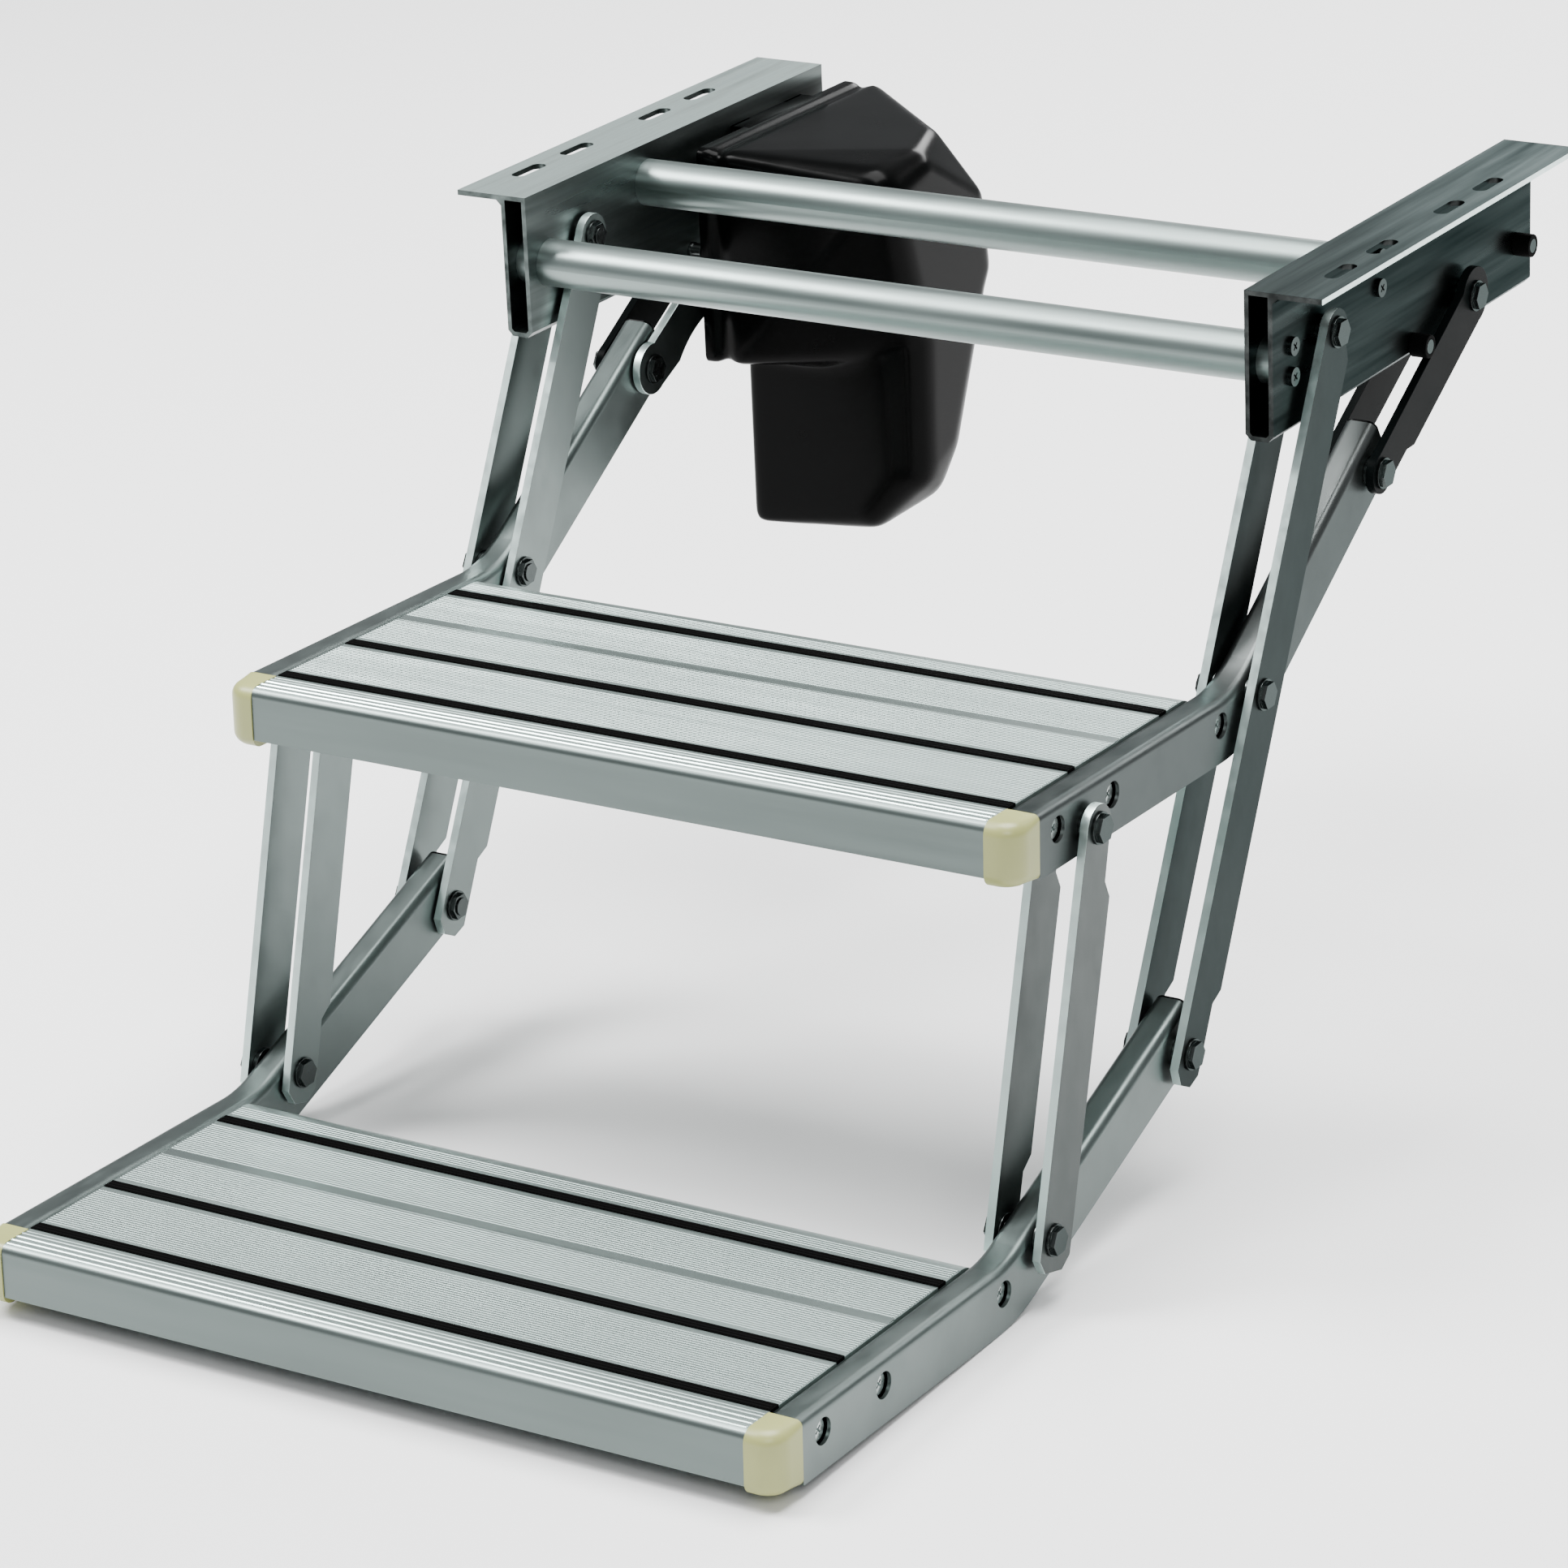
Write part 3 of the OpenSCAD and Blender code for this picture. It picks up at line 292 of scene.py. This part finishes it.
def finish_for(node):
    """Which material a node of the frame wears."""
    slot = SLOT_OF[node]
    if node.endswith("tread_screws"):
        return "bright_steel"
    if slot != "aluminium":
        return slot
    # the right rail wears a darker copy than the left: painted shade
    if node.endswith("rail"):
        return node + "_alu"
    if node.endswith("tube"):
        return "tube_alu"
    if node.endswith("tread"):
        return "tread_alu"
    # the upper right side tube wears a shaded copy: painted shade
    if node == "upper_right_side":
        return "shaded_side_alu"
    if node.endswith("side"):
        return "side_alu"
    # the right-hand arms wear the darkest copy: painted shade
    if node in ("right_outer_arm", "right_inner_arm"):
        return "dull_bar_alu"
    # left bars wear a lit copy, right bars a shaded one: painted light and painted shade
    return ("left" if "left" in node else "right") + "_bar_alu"


MATERIALS = {}


def dress(obj, key):
    obj.data.materials.clear()
    obj.data.materials.append(MATERIALS[key])


# Modelling helpers

# an edge sharper than this is softened, and one flatter than the next is no edge
SOFT_ANGLE = math.radians(28.0)
FLAT_ANGLE = math.radians(0.6)
SAME_PLACE = 2e-6


def deselect():
    if bpy.context.object and bpy.context.object.mode != "OBJECT":
        bpy.ops.object.mode_set(mode="OBJECT")
    bpy.ops.object.select_all(action="DESELECT")


def make_active(obj):
    deselect()
    obj.select_set(True)
    bpy.context.view_layer.objects.active = obj


def apply_all(obj):
    make_active(obj)
    for modifier in list(obj.modifiers):
        bpy.ops.object.modifier_apply(modifier=modifier.name)


def settle(obj):
    """Puts the object's place into its mesh."""
    make_active(obj)
    bpy.ops.object.transform_apply(location=True, rotation=True, scale=True)


def joined(pieces, name):
    deselect()
    for piece in pieces:
        piece.select_set(True)
    bpy.context.view_layer.objects.active = pieces[0]
    if len(pieces) > 1:
        bpy.ops.object.join()
    result = bpy.context.view_layer.objects.active
    result.name = name
    result.data.name = name
    return result


def stands_for(piece, node):
    """The piece rides as the frame's node does, and is shown in its place."""
    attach(piece, BODY_OF[node])
    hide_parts(node)


def flat_shaded(piece):
    """Smooth edges, with the shade of each flat face kept even."""
    make_active(piece)
    bpy.ops.object.shade_smooth_by_angle(angle=SOFT_ANGLE)
    even = piece.modifiers.new("even_faces", "WEIGHTED_NORMAL")
    even.weight = 100
    even.keep_sharp = True
    apply_all(piece)


def softened(node, width):
    """A copy of a frame node with its edges softened, which stands for the node."""
    source = frame["nodes"][node]
    piece = bpy.data.objects.new(node + "_finished", source.data.copy())
    bpy.context.scene.collection.objects.link(piece)
    make_active(piece)
    bpy.ops.object.mode_set(mode="EDIT")
    bpy.ops.mesh.select_all(action="SELECT")
    bpy.ops.mesh.customdata_custom_splitnormals_clear()
    bpy.ops.mesh.remove_doubles(threshold=SAME_PLACE)
    bpy.ops.mesh.dissolve_limited(angle_limit=FLAT_ANGLE)
    bpy.ops.object.mode_set(mode="OBJECT")
    if width > 0.0:
        bevel = piece.modifiers.new("soft_edges", "BEVEL")
        bevel.width = width
        bevel.segments = 2
        bevel.limit_method = "ANGLE"
        bevel.angle_limit = SOFT_ANGLE
        bevel.use_clamp_overlap = True
        apply_all(piece)
    flat_shaded(piece)
    dress(piece, finish_for(node))
    stands_for(piece, node)
    return piece


def second_finish(piece, key, choose):
    """Adds a finish to the piece, for the faces that the test picks."""
    piece.data.materials.append(MATERIALS[key])
    index = len(piece.data.materials) - 1
    for face in piece.data.polygons:
        if choose(face):
            face.material_index = index


def lit_flange_tops(rail):
    """Gives a rail's top a lighter copy of its metal, painted light from above, and the flange's edge a
    painted highlight.
    """
    top = -0.2 * MM
    side = max(abs(point.co.y) for point in rail.data.vertices) - 0.6 * MM
    second_finish(rail, rail.name.split("_")[0] + "_flange_alu",
                  lambda face: face.normal.z > 0.9 and face.center.z > top)
    second_finish(rail, "highlight_edge_alu",
                  lambda face: abs(face.center.y) > side and abs(face.normal.y) > 0.3
                  and not (face.normal.z > 0.9 and face.center.z > top))


def highlighted_bar_edges(bar):
    """Gives the edges of a bar a brighter copy of its metal: a painted highlight."""
    second_finish(bar, "highlight_edge_alu", lambda face: abs(face.normal.y) < 0.5)


def shade_nosing_face(tread):
    """Gives the front face of a tread a darker copy of its metal: painted shade."""
    second_finish(tread, "shaded_nosing_alu", lambda face: face.normal.x > 0.6)


# One operator for each group of pieces

class STEP_OT_materials(bpy.types.Operator):
    """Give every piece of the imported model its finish"""
    bl_idname = "entry_step.materials"
    bl_label = "Finishes"

    def execute(self, context):
        MATERIALS.update(all_materials(context.scene.step_colours))
        for node, obj in frame["nodes"].items():
            dress(obj, finish_for(node))
        return {"FINISHED"}


# a corner cap in the step's own frame, and the plug that it stands on
CAP_LOW = (198.5, 220.0, -33.5)
CAP_HIGH = (221.8, 238.5, 0.5)
CAP_CORNER = 13.0 * MM
CAP_ROUND = 7.0 * MM
CAP_PLUG_LOW = (186.5, 222.1, -31.4)
CAP_PLUG_HIGH = (199.5, 236.4, -6.6)


def select_edges(piece, choose):
    """Selects, in edit mode, the edges whose two ends the test accepts."""
    make_active(piece)
    bpy.ops.object.mode_set(mode="EDIT")
    bpy.ops.mesh.select_mode(type="EDGE")
    bpy.ops.mesh.select_all(action="DESELECT")
    bpy.ops.object.mode_set(mode="OBJECT")
    points = piece.data.vertices
    for edge in piece.data.edges:
        edge.select = choose(*(points[index].co for index in edge.vertices))
    bpy.ops.object.mode_set(mode="EDIT")


def swell(cap, sign):
    """Draws the cap's long outer edges out again towards the tube, which has sharper ones."""
    start, end = CAP_LOW[0] * MM, CAP_HIGH[0] * MM - CAP_CORNER
    side = CAP_HIGH[1] * MM
    middle = (CAP_LOW[2] + CAP_HIGH[2]) / 2 * MM
    half = (CAP_HIGH[2] - CAP_LOW[2]) / 2 * MM
    for point in cap.data.vertices:
        place = point.co
        if place.x > end:
            continue
        share = 0.5 * (end - max(place.x, start)) / (end - start)
        over = place.z - middle
        across, up = side - place.y * sign, half - abs(over)
        if 0.0 < up < CAP_ROUND and across < CAP_ROUND:
            place.y += sign * across * share
            place.z += math.copysign(up * share, over)


def moulded_cap(node):
    """A corner cap, rounded towards the nosing as its mould makes it."""
    body = node.split("_")[0]
    sign = -1.0 if "_left_" in node else 1.0

    def corner_block(low, high):
        sides = sorted((sign * low[1], sign * high[1]))
        return block((low[0], sides[0], low[2]), (high[0], sides[1], high[2]))

    cap = corner_block(CAP_LOW, CAP_HIGH)
    outer = (CAP_HIGH[1] - 0.1) * MM
    front = (CAP_HIGH[0] - 0.1) * MM
    inner = (CAP_LOW[1] + 0.1) * MM
    select_edges(cap, lambda a, b: min(a.x, b.x) > front and min(a.y * sign, b.y * sign) > outer)
    bpy.ops.mesh.bevel(offset=CAP_CORNER, segments=10, affect="EDGES")
    bpy.ops.object.mode_set(mode="OBJECT")
    back = (CAP_LOW[0] + 0.1) * MM
    bottom, top = (CAP_LOW[2] + 0.1) * MM, (CAP_HIGH[2] - 0.1) * MM
    select_edges(cap, lambda a, b: (min(a.z, b.z) > top or max(a.z, b.z) < bottom)
                 and max(a.y * sign, b.y * sign) > inner and max(a.x, b.x) > back)
    bpy.ops.mesh.bevel(offset=CAP_ROUND, segments=6, affect="EDGES")
    bpy.ops.object.mode_set(mode="OBJECT")
    swell(cap, sign)
    cap = joined([cap, corner_block(CAP_PLUG_LOW, CAP_PLUG_HIGH)], node + "_moulded")
    cap.data.transform(step_matrix(body))
    make_active(cap)
    bpy.ops.object.shade_smooth_by_angle(angle=math.radians(40.0))
    dress(cap, "cream_plastic")
    stands_for(cap, node)


class STEP_OT_rails(bpy.types.Operator):
    """Soften the edges of the rails, bars and tubes"""
    bl_idname = "entry_step.rails"
    bl_label = "Rails and bars"

    def execute(self, context):
        edge = context.scene.step_sizes.edge
        for node in frame["nodes"]:
            if node.endswith("_rail"):
                lit_flange_tops(softened(node, edge))
            elif node.endswith(("_arm", "_low_link")) or node == "drive_link":
                highlighted_bar_edges(softened(node, edge))
            elif node.endswith(("_rear_link", "_side", "_bracket", "_washers", "_spacers")):
                softened(node, edge)
            elif node.endswith(("_bolts", "_nuts", "_studs", "_shaft")):
                softened(node, edge)
            elif node.endswith(("_buffers", "_plugs")) or node in ("gearbox", "motor"):
                softened(node, 2.0 * edge)
            elif node.endswith("_cap"):
                moulded_cap(node)
            elif node.endswith("_tread"):
                shade_nosing_face(softened(node, 0.0))
        return {"FINISHED"}


def ball(x, y, z, radius):
    """A small ball whose middle is given in millimetres behind, beside and below the origin."""
    deselect()
    bpy.ops.mesh.primitive_uv_sphere_add(
        segments=24, ring_count=14, radius=radius * MM, location=(x * MM, -y * MM, -z * MM))
    sphere = bpy.context.object
    settle(sphere)
    return sphere


def stretched_over(balls, name):
    """One rounded convex body stretched over balls: (x, side, depth, radius)."""
    body = joined([ball(*place) for place in balls], name)
    make_active(body)
    bpy.ops.object.mode_set(mode="EDIT")
    bpy.ops.mesh.select_all(action="SELECT")
    bpy.ops.mesh.convex_hull(delete_unused=True, use_existing_faces=False, join_triangles=True)
    bpy.ops.mesh.select_all(action="SELECT")
    bpy.ops.mesh.remove_doubles(threshold=1e-5)
    bpy.ops.mesh.normals_make_consistent(inside=False)
    bpy.ops.object.mode_set(mode="OBJECT")
    return body


def combined(base, other, operation):
    """Unites a body with another, or cuts the other out of it; the other is used up."""
    modifier = base.modifiers.new(operation.lower(), "BOOLEAN")
    modifier.operation = operation
    modifier.solver = "EXACT"
    modifier.object = other
    apply_all(base)
    bpy.data.objects.remove(other, do_unlink=True)
    return base


def block(low, high, bevel=0.0):
    """A box between two corners in millimetres, its edges softened."""
    deselect()
    middle = [(a + b) / 2 * MM for a, b in zip(low, high)]
    bpy.ops.mesh.primitive_cube_add(size=1.0, location=middle)
    box = bpy.context.object
    box.scale = [(b - a) * MM for a, b in zip(low, high)]
    settle(box)
    if bevel > 0.0:
        modifier = box.modifiers.new("soft", "BEVEL")
        modifier.width = bevel * MM
        modifier.segments = 2
        apply_all(box)
    return box


COVER_SIDE = 212.0
COVER_WALL = 2.5
SHELF_TOP = -12.0
TAB_XS = (-94.0, -152.0)
TAB_LENGTH = 20.0
RAIL_FACE = 220.95
TAB_SCREW_Z = -29.0
# the cover seen from its side, beside the rail: x and depth of its five corners
COVER_PROFILE = ((-22.0, 12.0), (-194.0, 12.0), (-194.0, 78.0), (-176.0, 140.0), (-22.0, 140.0))
# from each of them, the way into the cover
INWARDS = ((-1, 1), (1, 1), (1, 0), (1, -1), (-1, -1))
UPPER_SIDE = 192.0
UPPER_ROUND = 6.0
# the rounded corners over the gearbox and over the motor: x, side, depth and radius
COVER_UPPER = [(-40.0, 104.0, 32.0, 18.0), (-68.0, 108.0, 118.0, 22.0), (-70.0, 98.0, 24.0, 12.0),
               (-114.0, 112.0, 19.0, 7.0), (-128.0, 96.0, 56.0, 10.0), (-134.0, 96.0, 98.0, 10.0),
               (-112.0, 96.0, 130.0, 10.0)]
COVER_LOBE = [(-53.0, 195.0, 110.0, 6.0), (-118.0, 195.0, 110.0, 6.0), (-53.0, 195.0, 238.0, 6.0),
              (-72.0, 195.0, 238.0, 6.0), (-69.0, 108.0, 112.0, 22.0), (-131.0, 96.0, 100.0, 10.0),
              (-67.0, 106.0, 200.0, 20.0), (-90.0, 104.0, 190.0, 18.0), (-78.0, 108.0, 206.0, 20.0),
              (-61.0, 126.0, 226.0, 14.0), (-72.0, 128.0, 224.0, 14.0)]


def cover_slice(inset, start, end, radius, name):
    """A slice of the cover's rail end, between two distances from the middle plane."""
    balls = []
    for (x, depth), (sx, sz) in zip(COVER_PROFILE, INWARDS):
        for side in (start + radius, end - radius):
            balls.append((x + sx * (inset + radius), side, depth + sz * (inset + radius), radius))
    return stretched_over(balls, name)


class STEP_OT_motor_cover(bpy.types.Operator):
    """Model the moulded cover over the motor and its gearbox"""
    bl_idname = "entry_step.motor_cover"
    bl_label = "Motor cover"

    def execute(self, context):
        upper = [(x + sx * UPPER_ROUND, UPPER_SIDE, depth + sz * UPPER_ROUND, UPPER_ROUND)
                 for (x, depth), (sx, sz) in zip(COVER_PROFILE, INWARDS)]
        body = stretched_over(upper + COVER_UPPER, "motor_cover_moulded")
        for other in (stretched_over(COVER_LOBE, "lobe"),
                      cover_slice(2.2, 190.0, 230.0, 4.0, "neck"),
                      cover_slice(0.0, 203.0, 230.0, 2.5, "lip")):
            combined(body, other, "UNION")
        remesh = body.modifiers.new("even", "REMESH")
        remesh.mode = "VOXEL"
        remesh.voxel_size = 2.0 * MM
        remesh.use_smooth_shade = True
        smooth = body.modifiers.new("moulded", "SMOOTH")
        smooth.factor = 0.5
        smooth.iterations = 18
        apply_all(body)
        make_active(body)
        bpy.ops.object.mode_set(mode="EDIT")
        bpy.ops.mesh.select_all(action="SELECT")
        bpy.ops.mesh.bisect(plane_co=(0.0, -COVER_SIDE * MM, 0.0), plane_no=(0.0, -1.0, 0.0),
                            clear_outer=True, clear_inner=False, use_fill=False)
        bpy.ops.object.mode_set(mode="OBJECT")
        wall = body.modifiers.new("wall", "SOLIDIFY")
        wall.thickness = COVER_WALL * MM
        wall.offset = -1.0
        apply_all(body)
        pieces = [body, block((TAB_XS[1], -RAIL_FACE, SHELF_TOP - 2.5),
                              (TAB_XS[0] + TAB_LENGTH, -COVER_SIDE + 4.0, SHELF_TOP), 0.4)]
        for x in TAB_XS:
            tab = block((x, -RAIL_FACE, SHELF_TOP - 24.0),
                        (x + TAB_LENGTH, -RAIL_FACE + 2.5, SHELF_TOP), 0.4)
            deselect()
            bpy.ops.mesh.primitive_cylinder_add(
                vertices=32, radius=2.45 * MM, depth=12.0 * MM, rotation=(math.pi / 2, 0.0, 0.0),
                location=((x + TAB_LENGTH / 2) * MM, -RAIL_FACE * MM, TAB_SCREW_Z * MM))
            hole = bpy.context.object
            settle(hole)
            pieces.append(combined(tab, hole, "DIFFERENCE"))
        cover = joined(pieces, "motor_cover_moulded")
        make_active(cover)
        bpy.ops.object.shade_smooth_by_angle(angle=math.radians(35.0))
        dress(cover, "black_plastic")
        stands_for(cover, "motor_cover")
        return {"FINISHED"}


# the strips on a tread: behind, in front and above, from the rear edge of its top
STRIP_START = 31.2 * MM
STRIP_END = 196.8 * MM
STRIP_PROUD = 0.6 * MM
TREAD_TILT = math.radians(2.0)
TREAD_WIDTH = 440.0 * MM


def step_matrix(body):
    """From a step's own frame, rear edge at the origin, to the row's frame."""
    low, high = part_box(body + "_strips")
    across, down = math.cos(TREAD_TILT), math.sin(TREAD_TILT)
    x = low[0] - STRIP_START * across + STRIP_PROUD * down
    z = high[2] - STRIP_END * down - STRIP_PROUD * across
    return Matrix.Translation((x, 0.0, z)) @ Matrix.Rotation(-TREAD_TILT, 4, "Y")


def rib_row(body, start, count, pitch, width, low, high, rounding):
    """Ribs across a tread, side by side, from a distance behind to in front."""
    deselect()
    bpy.ops.mesh.primitive_cube_add(size=1.0, location=(start + width / 2, 0.0, (low + high) / 2))
    rib = bpy.context.object
    rib.scale = (width, TREAD_WIDTH - 1.0 * MM, high - low)
    settle(rib)
    bevel = rib.modifiers.new("round", "BEVEL")
    bevel.width = rounding
    bevel.segments = 1
    if count > 1:
        array = rib.modifiers.new("row", "ARRAY")
        array.use_relative_offset = False
        array.use_constant_offset = True
        array.constant_offset_displace = (pitch, 0.0, 0.0)
        array.count = count
    apply_all(rib)
    rib.data.transform(step_matrix(body))
    return rib


STRIP_WIDTH = 7.6 * MM
STRIP_MIDDLES = (35.0, 132.5, 193.0)
RIB_BANDS = ((17.0, 27.5), (43.0, 78.5), (89.5, 124.5), (140.5, 185.0), (199.5, 201.5))
BAND_START = 80.2 * MM
BAND_WIDTH = 7.6 * MM
# where the beads of the nosing start, and their tops; the beads carry a painted highlight
BEADS = ((206.7, 0.75), (211.2, 0.75), (215.6, 0.55))
BEAD_WIDTH = 1.6 * MM
BEAD_DEEP = 1.2


class STEP_OT_tread_ribs(bpy.types.Operator):
    """Model the fine grip ribs and the smooth band of both treads"""
    bl_idname = "entry_step.tread_ribs"
    bl_label = "Grip ribs"

    def execute(self, context):
        sizes = context.scene.step_sizes
        for body in ("upper", "lower"):
            rows = []
            for start, end in RIB_BANDS:
                count = int((end - start) * MM / sizes.rib_pitch) + 1
                rows.append(rib_row(body, start * MM, count, sizes.rib_pitch, sizes.rib_pitch * 0.55,
                                    -0.2 * MM, sizes.rib_height, 0.25 * MM))
            piece = joined(rows, body + "_tread_ribs")
            dress(piece, "tread_alu")
            band = rib_row(body, BAND_START, 1, 0.0, BAND_WIDTH, -0.3 * MM, 0.12 * MM, 0.1 * MM)
            band = joined([band], body + "_tread_band")
            dress(band, "band_alu")
            beads = [rib_row(body, start * MM, 1, 0.0, BEAD_WIDTH, (top - BEAD_DEEP) * MM,
                             top * MM, 0.4 * MM) for start, top in BEADS]
            beads = joined(beads, body + "_nosing_beads")
            dress(beads, "highlight_bead_alu")
            for part in (piece, band, beads):
                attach(part, body + "_step")
        return {"FINISHED"}


class STEP_OT_strip_ridges(bpy.types.Operator):
    """Model the ridges of the rubber strips"""
    bl_idname = "entry_step.strip_ridges"
    bl_label = "Strip ridges"

    def execute(self, context):
        height = context.scene.step_sizes.ridge_height
        pitch = STRIP_WIDTH / 3
        for body in ("upper", "lower"):
            rows = [rib_row(body, middle * MM - STRIP_WIDTH / 2 + 0.4 * MM, 3, pitch, pitch * 0.62,
                            STRIP_PROUD - 0.2 * MM, STRIP_PROUD + height, 0.45 * MM)
                    for middle in STRIP_MIDDLES]
            piece = joined(rows, body + "_strip_ridges")
            dress(piece, "rubber")
            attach(piece, body + "_step")
        return {"FINISHED"}


# each soft light's name, place, width, height and power, and what they all face
LIGHTS = (("key", (1.4, -2.6, 3.0), 1.6, 1.6, 260.0),
          ("fill", (3.4, 2.4, 2.4), 2.0, 1.4, 80.0),
          ("top", (-0.2, 0.1, 3.8), 3.0, 3.0, 520.0),
          ("back", (-3.2, 0.2, 1.3), 3.0, 0.9, 110.0))
LIT_PLACE = Vector((0.2, 0.0, -0.22))


class STEP_OT_stage(bpy.types.Operator):
    """Set the floor, the lights and the camera"""
    bl_idname = "entry_step.stage"
    bl_label = "Stage"

    def execute(self, context):
        stage = context.scene.step_stage
        low = CAD_BOX[0]
        deselect()
        bpy.ops.mesh.primitive_plane_add(size=40.0, location=(0.0, 0.0, low[2] - 0.5 * MM))
        floor = bpy.context.object
        floor.name = "studio_floor"
        settle(floor)
        material, tree, shader = new_material("studio_floor")
        shader.inputs["Base Color"].default_value = (*context.scene.step_colours.floor, 1.0)
        shader.inputs["Roughness"].default_value = 0.9
        shader.inputs["Specular IOR Level"].default_value = 0.1
        floor.data.materials.append(material)
        world = bpy.data.worlds.new("studio_world")
        world.use_nodes = True
        background = world.node_tree.nodes["Background"]
        background.inputs["Color"].default_value = (0.95, 0.98, 1.0, 1.0)
        background.inputs["Strength"].default_value = 0.45
        context.scene.world = world
        for name, place, width, height, power in LIGHTS:
            deselect()
            bpy.ops.object.light_add(type="AREA", location=place)
            lamp = bpy.context.object
            lamp.name = "light_" + name
            lamp.data.shape = "RECTANGLE"
            lamp.data.size = width
            lamp.data.size_y = height
            lamp.data.energy = power
            lamp.rotation_euler = (LIT_PLACE - Vector(place)).to_track_quat("-Z", "Y").to_euler()
        deselect()
        bpy.ops.object.camera_add(location=tuple(stage.place))
        camera = bpy.context.object
        camera.name = "photo_camera"
        camera.data.sensor_width = 36.0
        camera.data.lens = stage.lens
        camera.data.clip_end = 100.0
        ahead = Vector((-math.cos(stage.yaw) * math.cos(stage.pitch),
                        -math.sin(stage.yaw) * math.cos(stage.pitch), math.sin(stage.pitch)))
        right = Vector((-math.sin(stage.yaw), math.cos(stage.yaw), 0.0))
        up = right.cross(ahead)
        side = right * math.cos(stage.roll) + up * math.sin(stage.roll)
        over = up * math.cos(stage.roll) - right * math.sin(stage.roll)
        turn = Matrix((side, over, -ahead)).transposed()
        camera.rotation_euler = turn.to_euler()
        context.scene.camera = camera
        return {"FINISHED"}


class STEP_PT_panel(bpy.types.Panel):
    """The entry step's pieces and stage"""
    bl_label = "Entry step"
    bl_idname = "STEP_PT_panel"
    bl_space_type = "VIEW_3D"
    bl_region_type = "UI"
    bl_category = "Entry step"

    def draw(self, context):
        for group in (context.scene.step_sizes, context.scene.step_colours, context.scene.step_stage):
            for key in group.__annotations__:
                self.layout.prop(group, key)
        for operator in OPERATORS:
            self.layout.operator(operator.bl_idname)


GROUPS = (("step_sizes", StepSizes), ("step_colours", StepColours), ("step_stage", StageSettings))
OPERATORS = (STEP_OT_materials, STEP_OT_rails, STEP_OT_motor_cover, STEP_OT_tread_ribs,
             STEP_OT_strip_ridges, STEP_OT_stage)


def register():
    for key, group in GROUPS:
        bpy.utils.register_class(group)
        setattr(bpy.types.Scene, key, bpy.props.PointerProperty(type=group))
    for operator in OPERATORS:
        bpy.utils.register_class(operator)
    bpy.utils.register_class(STEP_PT_panel)


def unregister():
    bpy.utils.unregister_class(STEP_PT_panel)
    for operator in reversed(OPERATORS):
        bpy.utils.unregister_class(operator)
    for key, group in reversed(GROUPS):
        delattr(bpy.types.Scene, key)
        bpy.utils.unregister_class(group)


def main():
    register()
    for operator in OPERATORS:
        area, name = operator.bl_idname.split(".")
        getattr(getattr(bpy.ops, area), name)()


if __name__ == "__main__":
    main()
